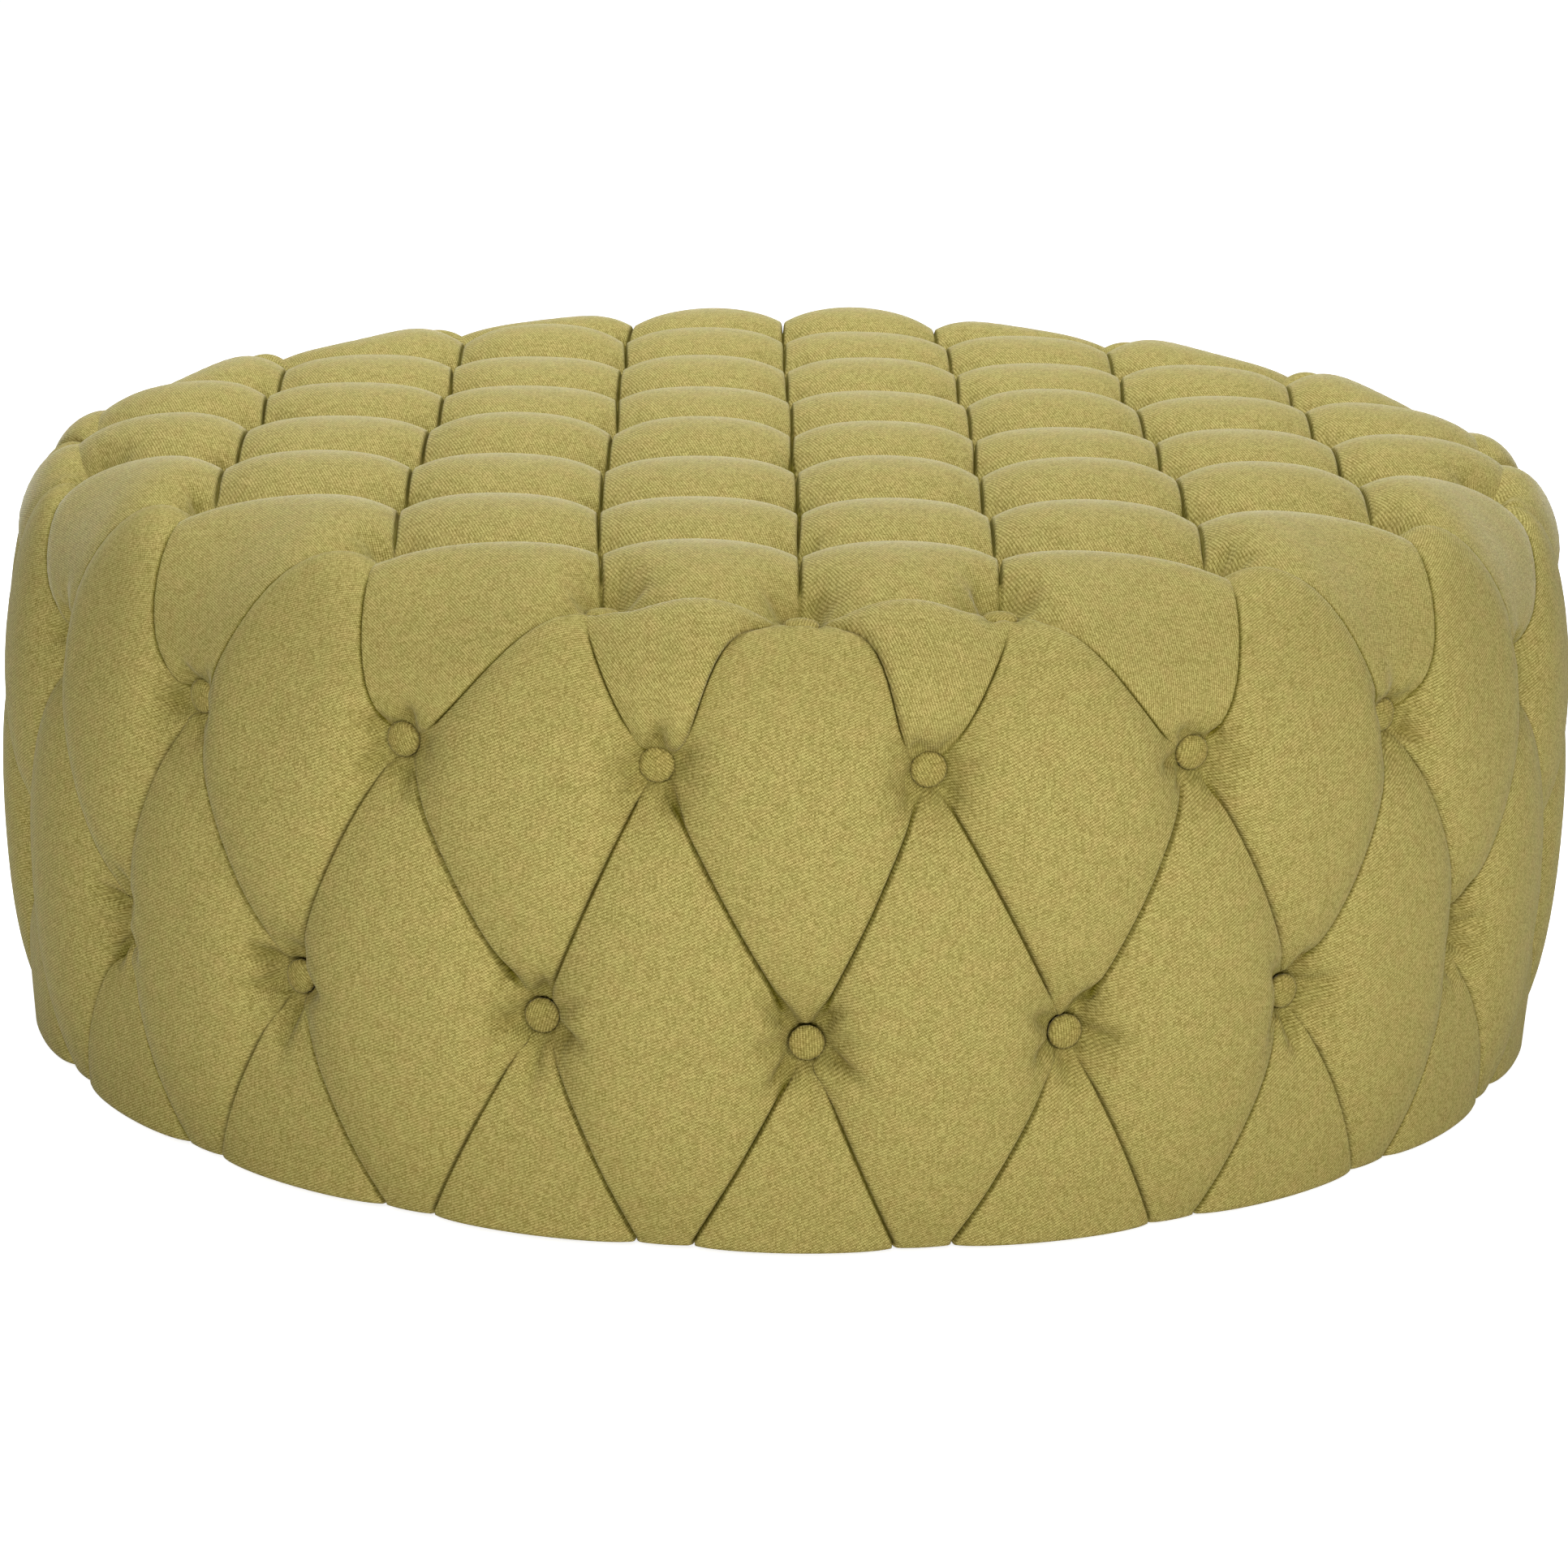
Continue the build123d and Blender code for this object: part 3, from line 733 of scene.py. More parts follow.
def gathers(vertices, normals, tufts, reach, strength):
    """Short folds that run out from each tuft, as moves along the normals and as painted shade in the folds."""
    moved = np.zeros(len(vertices))
    for tuft in tufts:
        axis = axis_at(tuft)
        across = unit(np.cross(axis, (0, 0, 1) if abs(axis[2]) < 0.7 else (0, 1, 0)))
        upright = np.cross(across, axis)
        count = int(chance.integers(*GATHER_COUNTS))
        angles = (np.arange(count) + chance.uniform(-GATHER_STRAY, GATHER_STRAY, count)) * 2 * math.pi / count
        angles = angles + chance.uniform(0, 6)
        lengths = chance.uniform(SHORTEST_GATHER, 1, count) * reach
        depths = chance.uniform(FAINTEST_GATHER, 1, count) * strength
        widths = chance.uniform(*GATHER_WIDTHS_MM, count) * MM
        near = np.flatnonzero(np.linalg.norm(vertices - tuft, axis=1) < reach * 1.6)
        offset = vertices[near] - tuft
        x, y = offset @ across, offset @ upright
        r = np.hypot(x, y)
        phi = np.arctan2(y, x)
        start = smooth_step((r - GATHER_START) / GATHER_RISE)
        for angle, length, depth, width in zip(angles, lengths, depths, widths):
            turn = (phi - angle + math.pi) % (2 * math.pi) - math.pi
            side = r * np.abs(turn) / (width + GATHER_SPREAD * r)
            fade = start * smooth_step(1 - (r - GATHER_WHOLE) / length)
            ridge = RIDGE_SHARE * np.exp(-((side - RIDGE_PLACE) ** 2) / RIDGE_WIDTH)
            moved[near] += depth * fade * (np.exp(-side ** 2) - ridge)
    return -normals * moved[:, None], GATHER_SHADE * smooth_step(moved / strength)


DIMPLE_REACH, DIMPLE_RING = 30 * MM, 2 * MM
DIMPLE_SHARE, DIMPLE_FULL = 0.9, 1.25


def dimpled(vertices):
    """Evens out the hollow round each tuft, so that its button can be seen from all sides."""
    moved = vertices.copy()
    for tuft in ALL_TUFTS:
        axis = axis_at(tuft)
        near = np.flatnonzero(np.linalg.norm(vertices - tuft, axis=1) < DIMPLE_REACH * 1.5)
        offset = vertices[near] - tuft
        rise = offset @ axis
        away = np.linalg.norm(offset - rise[:, None] * axis, axis=1)
        inside = away < DIMPLE_REACH
        near, rise, away = near[inside], rise[inside], away[inside]
        ring = np.minimum((away / DIMPLE_RING).astype(int), int(DIMPLE_REACH / DIMPLE_RING))
        even = np.polyval(np.polyfit(away, rise, 3, w=1 / (1 + np.bincount(ring)[ring])), away)
        share = DIMPLE_SHARE * smooth_step(DIMPLE_FULL * (1 - away / DIMPLE_REACH))
        moved[near] += axis * (share * (even - rise))[:, None]
    return moved


def vertex_normals(vertices, faces):
    normals = np.zeros_like(vertices)
    quads = np.array([f if len(f) == 4 else f + f[-1:] for f in faces])
    a, b, c, d = (vertices[quads[:, n]] for n in range(4))
    face_normals = np.cross(c - a, d - b)
    for n in range(4):
        np.add.at(normals, quads[:, n], face_normals)
    return normals / np.maximum(np.linalg.norm(normals, axis=1), 1e-12)[:, None]


def boundary_loops(bm):
    """The open edges of a mesh, as rings of vertices."""
    bm.edges.index_update()
    edges = {e for e in bm.edges if len(e.link_faces) == 1}
    loops = []
    while edges:
        edge = min(edges, key=lambda e: e.index)
        edges.discard(edge)
        start, here = edge.verts
        ring = [start, here]
        while here is not start:
            following = next(e for e in here.link_edges if e in edges)
            edges.discard(following)
            here = following.other_vert(here)
            ring.append(here)
        loops.append(ring[:-1])
    return loops


def strip(low, high):
    """Faces between two closed rings of equally many vertices."""
    following = list(range(1, len(low))) + [0]
    return [(low[n], low[m], high[m], high[n]) for n, m in enumerate(following)]


def extend(bm, ring, place):
    """A new ring of vertices joined to a boundary ring."""
    made = [bm.verts.new(place(v.co)) for v in ring]
    for face in strip(ring, made):
        bm.faces.new(face)
    return made


def toward(radius, level, share=1.0):
    """Moves a point all or part of the way to a radius and a level."""
    def place(co):
        goal = Vector(on_drum(math.atan2(co.y, co.x), radius, level))
        return goal if share == 1.0 else co.lerp(goal, share)
    return place


def inward(distance, drop):
    def place(co):
        angle = math.atan2(co.y, co.x)
        return Vector((co.x - distance * math.cos(angle), co.y - distance * math.sin(angle), co.z - drop))
    return place


def open_edges(ring):
    """The edges along a boundary ring."""
    chosen = set(ring)
    edges = {e for v in ring for e in v.link_edges if len(e.link_faces) == 1 and set(e.verts) <= chosen}
    return sorted(edges, key=lambda e: sorted(v.index for v in e.verts))


FACING_DOWN, UNDER_LEVEL = -0.7, HEM_LEVEL + 6 * MM


def weave_map(obj, wrap):
    """A map in metres that follows the cloth: flat over the top, or unrolled round the side and under the hem."""
    mesh = obj.data
    places = vertex_places(obj)[read(mesh.loops, "vertex_index", kind=np.int32)]
    x, y, z = places.T
    turn, run = np.arctan2(y, x), unrolled(places)
    if wrap:
        starts, totals = (read(mesh.polygons, name, kind=np.int32) for name in ("loop_start", "loop_total"))
        first = np.repeat(turn[starts], totals)
        turn = np.where(turn - first > math.pi, turn - 2 * math.pi, turn)
        turn = np.where(turn - first < -math.pi, turn + 2 * math.pi, turn)
        facing = np.repeat(read(mesh.polygons, "normal", 3)[:, 2], totals)
        turned_under = (facing < FACING_DOWN) & (z < UNDER_LEVEL)
        flat = np.stack([turn * RADIUS, -run - turned_under * (RADIUS - np.hypot(x, y))], 1)
    else:
        flat = np.stack([run * np.sin(turn), -run * np.cos(turn)], 1)
    mesh.uv_layers.new(name="weave").data.foreach_set("uv", flat.astype(np.float32).ravel())


def into_object(bm, obj):
    """Puts an edited mesh back into its object, smooth and facing out."""
    bmesh.ops.recalc_face_normals(bm, faces=bm.faces)
    for face in bm.faces:
        face.smooth = True
    bm.to_mesh(obj.data)
    bm.free()


# ---- materials ----

THREAD_WIDTH, STITCH_LENGTH, TWILL_STEP = 0.95 * MM, 0.85 * MM, 0.45
THREAD_BEND, THREAD_HEIGHT = 3.0 * MM, 0.16 * MM
# The cool and warm tints vary the tone at random; the third tint is painted shade for creases and pits
COOL_TINT, WARM_TINT, PAINTED_SHADE_TINT = (0.97, 1.012, 0.96), (1.025, 0.99, 1.0), (0.32, 0.32, 0.07)
SHEEN_TINT = (1.0, 0.97, 0.86, 1)


class Value:
    """A shader node's output that can be reckoned with."""

    def __init__(self, nodes, output):
        self.nodes, self.output = nodes, output

    def __add__(self, other):
        return self.nodes.math("ADD", self, other)

    def __sub__(self, other):
        return self.nodes.math("SUBTRACT", self, other)

    def __mul__(self, other):
        return self.nodes.math("MULTIPLY", self, other)

    def __truediv__(self, other):
        return self.nodes.math("DIVIDE", self, other)


class Nodes:
    """A material whose nodes are made and linked by short calls."""

    def __init__(self, name):
        self.material = bpy.data.materials.new(name)
        self.material.use_nodes = True
        self.tree = self.material.node_tree
        self.tree.nodes.clear()
        self.out = self.tree.nodes.new("ShaderNodeOutputMaterial")
        self.shader = self.tree.nodes.new("ShaderNodeBsdfPrincipled")
        self.tree.links.new(self.shader.outputs[0], self.out.inputs["Surface"])

    def node(self, kind, **values):
        made = self.tree.nodes.new(kind)
        for key, value in values.items():
            setattr(made, key, value)
        return made

    def feed(self, socket, value):
        if isinstance(value, Value):
            self.tree.links.new(value.output, socket)
        else:
            socket.default_value = (*value, 1) if isinstance(value, tuple) and len(value) == 3 else value

    def surface(self, **values):
        """Sets or links the shader's inputs, which are named with underscores for spaces."""
        for name, value in values.items():
            self.feed(self.shader.inputs[name.replace("_", " ")], value)

    def math(self, operation, a, b=None, clamp=False):
        made = self.node("ShaderNodeMath", operation=operation, use_clamp=clamp)
        self.feed(made.inputs[0], a)
        if b is not None:
            self.feed(made.inputs[1], b)
        return Value(self, made.outputs[0])

    def noise(self, vector, scale, detail=2.0, roughness=0.5):
        made = self.node("ShaderNodeTexNoise")
        for name, value in (("Scale", scale), ("Detail", detail), ("Roughness", roughness), ("Vector", vector)):
            self.feed(made.inputs[name], value)
        return Value(self, made.outputs["Fac"])

    def stretched(self, vector, *scale):
        made = self.node("ShaderNodeMapping")
        made.inputs["Scale"].default_value = scale
        self.feed(made.inputs["Vector"], vector)
        return Value(self, made.outputs[0])

    def ramp(self, factor, *stops):
        made = self.node("ShaderNodeValToRGB")
        for element, (place, colour) in zip(made.color_ramp.elements, stops):
            element.position = place
            element.color = (*colour, 1)
        self.feed(made.inputs[0], factor)
        return Value(self, made.outputs[0])

    def mix(self, factor, a, b, blend="MIX"):
        made = self.node("ShaderNodeMix", data_type="RGBA", blend_type=blend)
        for socket, value in zip((made.inputs["Factor"], made.inputs[6], made.inputs[7]), (factor, a, b)):
            self.feed(socket, value)
        return Value(self, made.outputs[2])

    def bump(self, height, distance, strength):
        made = self.node("ShaderNodeBump")
        made.inputs["Distance"].default_value = distance
        made.inputs["Strength"].default_value = strength
        self.feed(made.inputs["Height"], height)
        self.surface(Normal=Value(self, made.outputs[0]))


def fabric(name, sheen, light=(0.515, 0.428, 0.152), dark=(0.165, 0.126, 0.024)):
    """Heathered twill whose stitches stand in columns along the weave map, each with its own tone."""
    m = Nodes(name)
    uv = Value(m, m.node("ShaderNodeUVMap", uv_map="weave").outputs[0])
    parts = m.node("ShaderNodeSeparateXYZ")
    m.feed(parts.inputs[0], uv)
    u, v = (Value(m, parts.outputs[n]) for n in (0, 1))
    bent = (m.noise(uv, 45.0) - 0.5) * THREAD_BEND
    across = (u + bent) / THREAD_WIDTH
    thread = m.math("FLOOR", across)
    along = (v + bent) / STITCH_LENGTH + thread * TWILL_STEP
    cell = m.node("ShaderNodeCombineXYZ")
    m.feed(cell.inputs[0], thread)
    m.feed(cell.inputs[1], m.math("FLOOR", along))
    picked = m.node("ShaderNodeTexWhiteNoise", noise_dimensions="3D")
    m.feed(picked.inputs[0], Value(m, cell.outputs[0]))
    mottle = Value(m, picked.outputs["Value"])
    streaks = m.noise(m.stretched(uv, 1.0, 0.06, 1.0), 1100.0, 1.0) - 0.5
    slubs = m.noise(m.stretched(uv, 0.3, 1.0, 1.0), 520.0, 2.0, 0.6) - 0.5
    swell = m.math("SINE", across * math.pi) * m.math("SINE", along * math.pi)
    checks = swell * (mottle * 0.6 + 0.5)
    tone = (mottle - 0.5) * 0.5 + checks * 0.5 + streaks * 0.35 + slubs * 0.15 + 0.5
    threads = m.ramp(tone, (0.0, dark), (1.0, light))
    warm = m.math("MULTIPLY", m.noise(uv, 75.0, 1.0, 0.6) - 0.36, 2.4, clamp=True)
    tinted = m.mix(warm, m.mix(1.0, threads, COOL_TINT, "MULTIPLY"), m.mix(1.0, threads, WARM_TINT, "MULTIPLY"))
    # Painted shade: where the hollow attribute is set, in creases, pits and gathers, the colour is darkened by the
    # shade tint and the sheen is cut away
    hollow = Value(m, m.node("ShaderNodeAttribute", attribute_name="hollow").outputs["Fac"])
    open_cloth = m.math("SUBTRACT", 1.0, hollow * 3.0, clamp=True)
    m.surface(Base_Color=m.mix(hollow, tinted, m.mix(1.0, tinted, PAINTED_SHADE_TINT, "MULTIPLY")), Roughness=0.95,
              Specular_IOR_Level=0.03, Sheen_Weight=open_cloth * sheen, Sheen_Roughness=0.3, Sheen_Tint=SHEEN_TINT)
    m.bump(swell * swell + mottle * 0.6, THREAD_HEIGHT, 0.5)
    return m.material


def plain_wood(name, light, dark):
    """Wood with its grain along X."""
    m = Nodes(name)
    grain = m.stretched(Value(m, m.node("ShaderNodeTexCoord").outputs["Object"]), 1.0, 12.0, 12.0)
    tone = m.noise(grain, 9.0, 4.0, 0.65) * 0.7 + m.noise(grain, 70.0, 2.0, 0.6) * 0.3
    m.surface(Base_Color=m.ramp(tone, (0.3, dark), (0.7, light)), Roughness=0.7)
    m.bump(tone, 0.3 * MM, 0.4)
    return m.material


def speckled(name, light, dark, scale, roughness, metallic=0.0, depth=0.2 * MM):
    m = Nodes(name)
    grains = m.noise(Value(m, m.node("ShaderNodeTexCoord").outputs["Object"]), scale, 3.0, 0.6)
    m.surface(Base_Color=m.ramp(grains, (0.3, dark), (0.7, light)), Roughness=roughness, Metallic=metallic)
    m.bump(grains, depth, 0.5)
    return m.material


def wear(obj, material):
    obj.data.materials.clear()
    obj.data.materials.append(material)


def stand_for(obj, node, material):
    """Dresses a piece and lets it stand for a CAD node."""
    wear(obj, material)
    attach(obj, "root")
    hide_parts(node)


TOP_CLOTH = fabric("top_twill", 0.32)
SIDE_CLOTH = fabric("side_twill", 0.1)
# The buttons wear the cover's twill, painted darker as shade for buttons sunk in their pits
SHADED_BUTTON_CLOTH = fabric("button_twill_shaded", 0.1, light=(0.47, 0.385, 0.125), dark=(0.14, 0.106, 0.018))
PLYWOOD = plain_wood("plywood", (0.74, 0.56, 0.34), (0.52, 0.36, 0.19))
SOFTWOOD = plain_wood("softwood", (0.80, 0.62, 0.38), (0.62, 0.44, 0.23))
HARDBOARD = speckled("hardboard", (0.30, 0.19, 0.11), (0.20, 0.12, 0.07), 400.0, 0.8)
FOAM = speckled("foam", (0.92, 0.86, 0.64), (0.80, 0.72, 0.50), 700.0, 0.95, depth=0.6 * MM)
DUST_CLOTH = speckled("dust_cloth", (0.035, 0.035, 0.037), (0.012, 0.012, 0.013), 900.0, 0.95)
STEEL = speckled("staple_steel", (0.62, 0.62, 0.63), (0.42, 0.42, 0.43), 300.0, 0.35, 1.0)
NYLON = speckled("nylon", (0.05, 0.05, 0.052), (0.025, 0.025, 0.026), 500.0, 0.5)

# ---- the two cushions ----

top_nets, side_nets = top_cells(), side_cells()
fold_kinds = {fold_label(controls): kind for controls, kind in folds.values()}
lines = FoldLines()
steps = np.array([*HALF_STEPS, *HALF_STEPS[::-1]])
places = np.concatenate([[0], np.cumsum(steps) / steps.sum()])
ON_TOP = {tuple(tuft) for tuft in TOP_TUFTS.values()}


def axis_at(tuft):
    return UP if tuple(tuft) in ON_TOP else outward(tuft)


def cover_form():
    """The form of the whole cover, which of its faces belong to the top, and how much painted shade each vertex gets.
    """
    nets = top_nets + side_nets
    moved = cloth_moves(nets)
    vertices, faces, cell_of, _ = welded(nets, places, moved)
    vertices = dimpled(vertices)
    drawn, shade = lines.depths(vertices)
    shade = np.clip(shade + pit_shade(vertices), 0, 1)
    vertices = vertices - swelling(vertices) * (drawn + pits(vertices))[:, None]
    normals = vertex_normals(vertices, faces)
    for tufts, reach, strength in GATHERS:
        moves, folded = gathers(vertices, normals, tufts, reach, strength)
        vertices = vertices + moves
        shade = np.clip(shade + folded, 0, 1)
    return vertices, faces, np.array(cell_of) < len(top_nets), shade


cover, cover_faces, on_top, cover_shade = cover_form()


def cushion_mesh(name, wanted):
    """An object with the wanted faces of the cover and their painted shade, and an editable copy of its mesh."""
    chosen = [face for face, mine in zip(cover_faces, wanted) if mine]
    used = sorted({n for face in chosen for n in face})
    number = {old: new for new, old in enumerate(used)}
    obj = mesh_object(name, cover[used], [[number[n] for n in face] for face in chosen])
    # The painted shade goes to the cloth's shader as the point attribute named hollow
    shade = obj.data.attributes.new("hollow", "FLOAT", "POINT")
    shade.data.foreach_set("value", cover_shade[used].astype(np.float32))
    bm = bmesh.new()
    bm.from_mesh(obj.data)
    return obj, bm


# How far each button presses the foam in, so that the cover's inner face clears the bottom of its pit
PRESS_REACH = 17 * MM
TOP_SPARE, SIDE_SPARE = 1.3 * MM, 1.2 * MM
TOP_SPOTS, SIDE_SPOTS = np.array(list(TOP_TUFTS.values())), np.array(SIDE_TUFTS)
TOP_PRESS = CORE_TOP + BACKING_GAP - (TOP_SPOTS[:, 2] - TOP_PIT - TOP_DROP - TOP_SPARE)
SIDE_PRESS = CORE_RADIUS + BACKING_GAP - (np.hypot(*SIDE_SPOTS[:, :2].T) - SIDE_PIT - SIDE_DROP - SIDE_SPARE)


def pressed_down(points):
    """How far the tufts press the top's foam down at each point."""
    away = np.linalg.norm(points[:, None, :2] - TOP_SPOTS[None, :, :2], axis=2)
    return (TOP_PRESS * np.exp(-(away / PRESS_REACH) ** 2)).max(axis=1)


def pressed_in(points):
    """How far the side's tufts press its foam in at each point."""
    gap = np.arctan2(points[:, 1], points[:, 0])[:, None] - np.arctan2(SIDE_SPOTS[:, 1], SIDE_SPOTS[:, 0])[None]
    gap = (gap + math.pi) % (2 * math.pi) - math.pi
    away = np.hypot(gap * CORE_RADIUS, points[:, None, 2] - SIDE_SPOTS[None, :, 2])
    return (SIDE_PRESS * np.exp(-(away / PRESS_REACH) ** 2)).max(axis=1)


def foam_side(points):
    """Where the padding's underside lies under the points of its face."""
    radius = np.hypot(points[:, 0], points[:, 1])
    held = np.minimum(radius, CORE_RADIUS - BACKING_GAP)
    over = np.maximum(0.0, held - (CORE_RADIUS - CORE_BEVEL))
    share = held / np.maximum(radius, MM)
    spots = np.stack([points[:, 0] * share, points[:, 1] * share, CORE_TOP + BACKING_GAP - over], 1)
    spots[:, 2] -= pressed_down(spots)
    return spots


NEAR_BUTTON_STEPS = (-28, -20, -14, -9, -4.5, 0, 4.5, 9, 14, 20, 28)


def wall_levels(first, last):
    """Levels from first to last in millimetres, close together where buttons press."""
    made = {first, last, *np.linspace(first, last, 9)}
    for level in (UPPER_LEVEL / MM, LOWER_LEVEL / MM):
        made.update(level + step for step in NEAR_BUTTON_STEPS)
    return sorted(x for x in made if first <= x <= last)


UNDERSIDE_PLACES = np.array([0, 0.05, 0.1, 0.16, 0.25, 0.5, 0.75, 0.84, 0.9, 0.95, 1])
WALL_TURNS = 400
WALL_FOOT, WALL_HEAD = 10, 326
RIM_SHARE = 0.25


def wall_rings(bm):
    """The inner face of the side's padding, as rings of vertices from the bottom up."""
    turn = np.arange(WALL_TURNS) * 2 * math.pi / WALL_TURNS
    rings = []
    for level in wall_levels(WALL_FOOT, WALL_HEAD):
        points = np.stack([np.cos(turn), np.sin(turn), np.full(WALL_TURNS, level * MM)], 1)
        radius = CORE_RADIUS + BACKING_GAP - pressed_in(points)
        rings.append([bm.verts.new((x * r, y * r, z)) for (x, y, z), r in zip(points, radius)])
    for low, high in zip(rings, rings[1:]):
        for face in strip(low, high):
            bm.faces.new(face)
    return rings


def bridge(bm, *rings):
    bm.verts.index_update()
    bmesh.ops.bridge_loops(bm, edges=[e for ring in rings for e in open_edges(ring)])


def to_rim(bm, ring, drop=0.0):
    """Runs a cushion's edge at the seam in to the foam's bevel, as a sharp fold."""
    for edge in open_edges(ring):
        edge.smooth = False
    ring = extend(bm, ring, toward(CORE_RADIUS + BACKING_GAP, CORE_TOP - CORE_BEVEL, RIM_SHARE))
    return extend(bm, ring, toward(CORE_RADIUS + BACKING_GAP, CORE_TOP - CORE_BEVEL - drop))


def build_top():
    """The top cushion, closed by a coarse underside that follows the foam."""
    obj, bm = cushion_mesh("top_upholstery", on_top)
    bm.verts.index_update()
    (ring,) = boundary_loops(bm)
    ring = to_rim(bm, ring)
    vertices, faces, _, _ = welded(top_nets, UNDERSIDE_PLACES)
    made = [bm.verts.new(v) for v in foam_side(vertices)]
    for face in faces:
        bm.faces.new([made[n] for n in reversed(face)])
    bridge(bm, ring, made)
    into_object(bm, obj)
    weave_map(obj, wrap=False)
    return obj


def build_side():
    """The side cushion, turned under at the hem and closed by a wall that follows the foam."""
    obj, bm = cushion_mesh("side_upholstery", ~on_top)
    bmesh.ops.bisect_plane(bm, geom=bm.verts[:] + bm.edges[:] + bm.faces[:], clear_outer=True,
                           plane_co=(0, 0, HEM_LEVEL + sum(drop for _, drop in HEM_STEPS)), plane_no=(0, 0, -1))
    bm.verts.index_update()
    hem, seam = sorted(boundary_loops(bm), key=lambda r: sum(v.co.z for v in r) / len(r))
    for step in HEM_STEPS:
        hem = extend(bm, hem, inward(*step))
    upper = HEM_LEVEL + CLOTH_THICKNESS
    for radius, level in ((-TURNED_UNDER, HEM_LEVEL), (-TURNED_UNDER, upper), (BACKING_GAP, upper)):
        hem = extend(bm, hem, toward(CORE_RADIUS + radius, level))
    seam = to_rim(bm, seam, 1 * MM)
    wall = wall_rings(bm)
    bridge(bm, hem, wall[0])
    bridge(bm, seam, wall[-1])
    into_object(bm, obj)
    weave_map(obj, wrap=True)
    return obj


top, side = build_top(), build_side()
stand_for(top, "top_cushion", TOP_CLOTH)
stand_for(side, "side_cushion", SIDE_CLOTH)

# ---- buttons ----

# (radius, height) in millimetres, from the rim to the crown
BUTTON_PROFILE = [(9.1, -1.5), (9.7, 0.2), (10.0, 1.6), (9.8, 2.9), (9.0, 4.1), (7.6, 5.0), (5.4, 5.7), (2.8, 6.1)]
BUTTON_FOOT, BUTTON_CROWN = -1.5 * MM, 6.2 * MM
BUTTON_TURNS = 40
BUTTON_TILT, BUTTON_TUCKS, TUCK_SHARE, TUCKS_FROM = 0.06, 11, 0.012, 9
SEAT_INNER, SEAT_OUTER, SEAT_LOW, SEAT_HIGH, SEAT_DEPTH = 12 * MM, 14 * MM, -25 * MM, 40 * MM, 1.6 * MM
CLOTH_POINTS = np.concatenate([vertex_places(top), vertex_places(side)])


def seat_of(tuft, axis):
    """Where a button's rim meets the cloth round it."""
    offset = CLOTH_POINTS - tuft
    rise = offset @ axis
    away = np.linalg.norm(offset - rise[:, None] * axis, axis=1)
    near = (away > SEAT_INNER) & (away < SEAT_OUTER) & (rise > SEAT_LOW) & (rise < SEAT_HIGH)
    return tuft + axis * (np.mean(rise[near]) - SEAT_DEPTH)


def build_buttons(name, tufts, node):
    """Covered buttons as one piece, each tilted a little, with tucks in the cloth at its rim."""
    vertices, faces, uvs = [], [], []
    for tuft in tufts:
        axis = axis_at(tuft)
        tilt = chance.uniform(-BUTTON_TILT, BUTTON_TILT, 2)
        across = unit(np.cross((0, 0, 1), axis)) if axis is not UP else np.array([1.0, 0, 0])
        axis = unit(axis + across * tilt[0] + np.cross(axis, across) * tilt[1])
        across = unit(across - axis * (across @ axis))
        upright = np.cross(axis, across)
        seat = seat_of(tuft, axis)
        spin, tucks = chance.uniform(0, 6), chance.uniform(0, 6)
        first = len(vertices)
        for radius, height in BUTTON_PROFILE:
            for n in range(BUTTON_TURNS):
                turn = 2 * math.pi * n / BUTTON_TURNS
                pinch = 1 + TUCK_SHARE * math.sin(BUTTON_TUCKS * turn + tucks) * (radius > TUCKS_FROM)
                x, y = radius * pinch * math.cos(turn), radius * pinch * math.sin(turn)
                vertices.append(seat + (across * x + upright * y + axis * height) * MM)
                uvs.append(((x * math.cos(spin) - y * math.sin(spin)) * MM,
                            (x * math.sin(spin) + y * math.cos(spin)) * MM))
        foot, crown = len(vertices), len(vertices) + 1
        vertices.extend((seat + axis * BUTTON_FOOT, seat + axis * BUTTON_CROWN))
        uvs.extend(((0, 0), (0, 0)))
        rings = [list(range(n, n + BUTTON_TURNS)) for n in range(first, foot, BUTTON_TURNS)]
        for low, high in zip(rings, rings[1:]):
            faces.extend(strip(low, high))
        faces.extend((a, b, crown) for a, b, _, _ in strip(rings[-1], rings[-1]))
        faces.extend((b, a, foot) for a, b, _, _ in strip(rings[0], rings[0]))
    obj = mesh_object(name, vertices, faces)
    obj.data.shade_smooth()
    corner = read(obj.data.loops, "vertex_index", kind=np.int32)
    obj.data.uv_layers.new(name="weave").data.foreach_set("uv", np.array(uvs, np.float32)[corner].ravel())
    stand_for(obj, node, SHADED_BUTTON_CLOTH)


build_buttons("buttons_top", list(TOP_TUFTS.values()), "top_buttons")
build_buttons("buttons_upper", UPPER, "upper_side_buttons")
build_buttons("buttons_lower", LOWER, "lower_side_buttons")

# ---- inside and underneath ----

def turned(name, profile, turns, middles=((0.0, 0.0),), closed=True):
    """Bodies of revolution from (radius, level) points in millimetres, one round each middle."""
    vertices, faces = [], []
    for x, y in middles:
        first = len(vertices)
        for radius, level in profile:
            for n in range(turns):
                turn = 2 * math.pi * n / turns
                vertices.append((x + radius * MM * math.cos(turn), y + radius * MM * math.sin(turn), level * MM))
        rings = [list(range(n, n + turns)) for n in range(first, len(vertices), turns)]
        for low, high in zip(rings, rings[1:] + rings[:1] if closed else rings[1:]):
            faces.extend(strip(low, high))
    obj = mesh_object(name, vertices, faces)
    bm = bmesh.new()
    bm.from_mesh(obj.data)
    bmesh.ops.remove_doubles(bm, verts=bm.verts, dist=0.01 * MM)
    into_object(bm, obj)
    return obj


def reshape(obj, change):
    obj.data.vertices.foreach_set("co", change(vertex_places(obj)).ravel())
    obj.data.update()


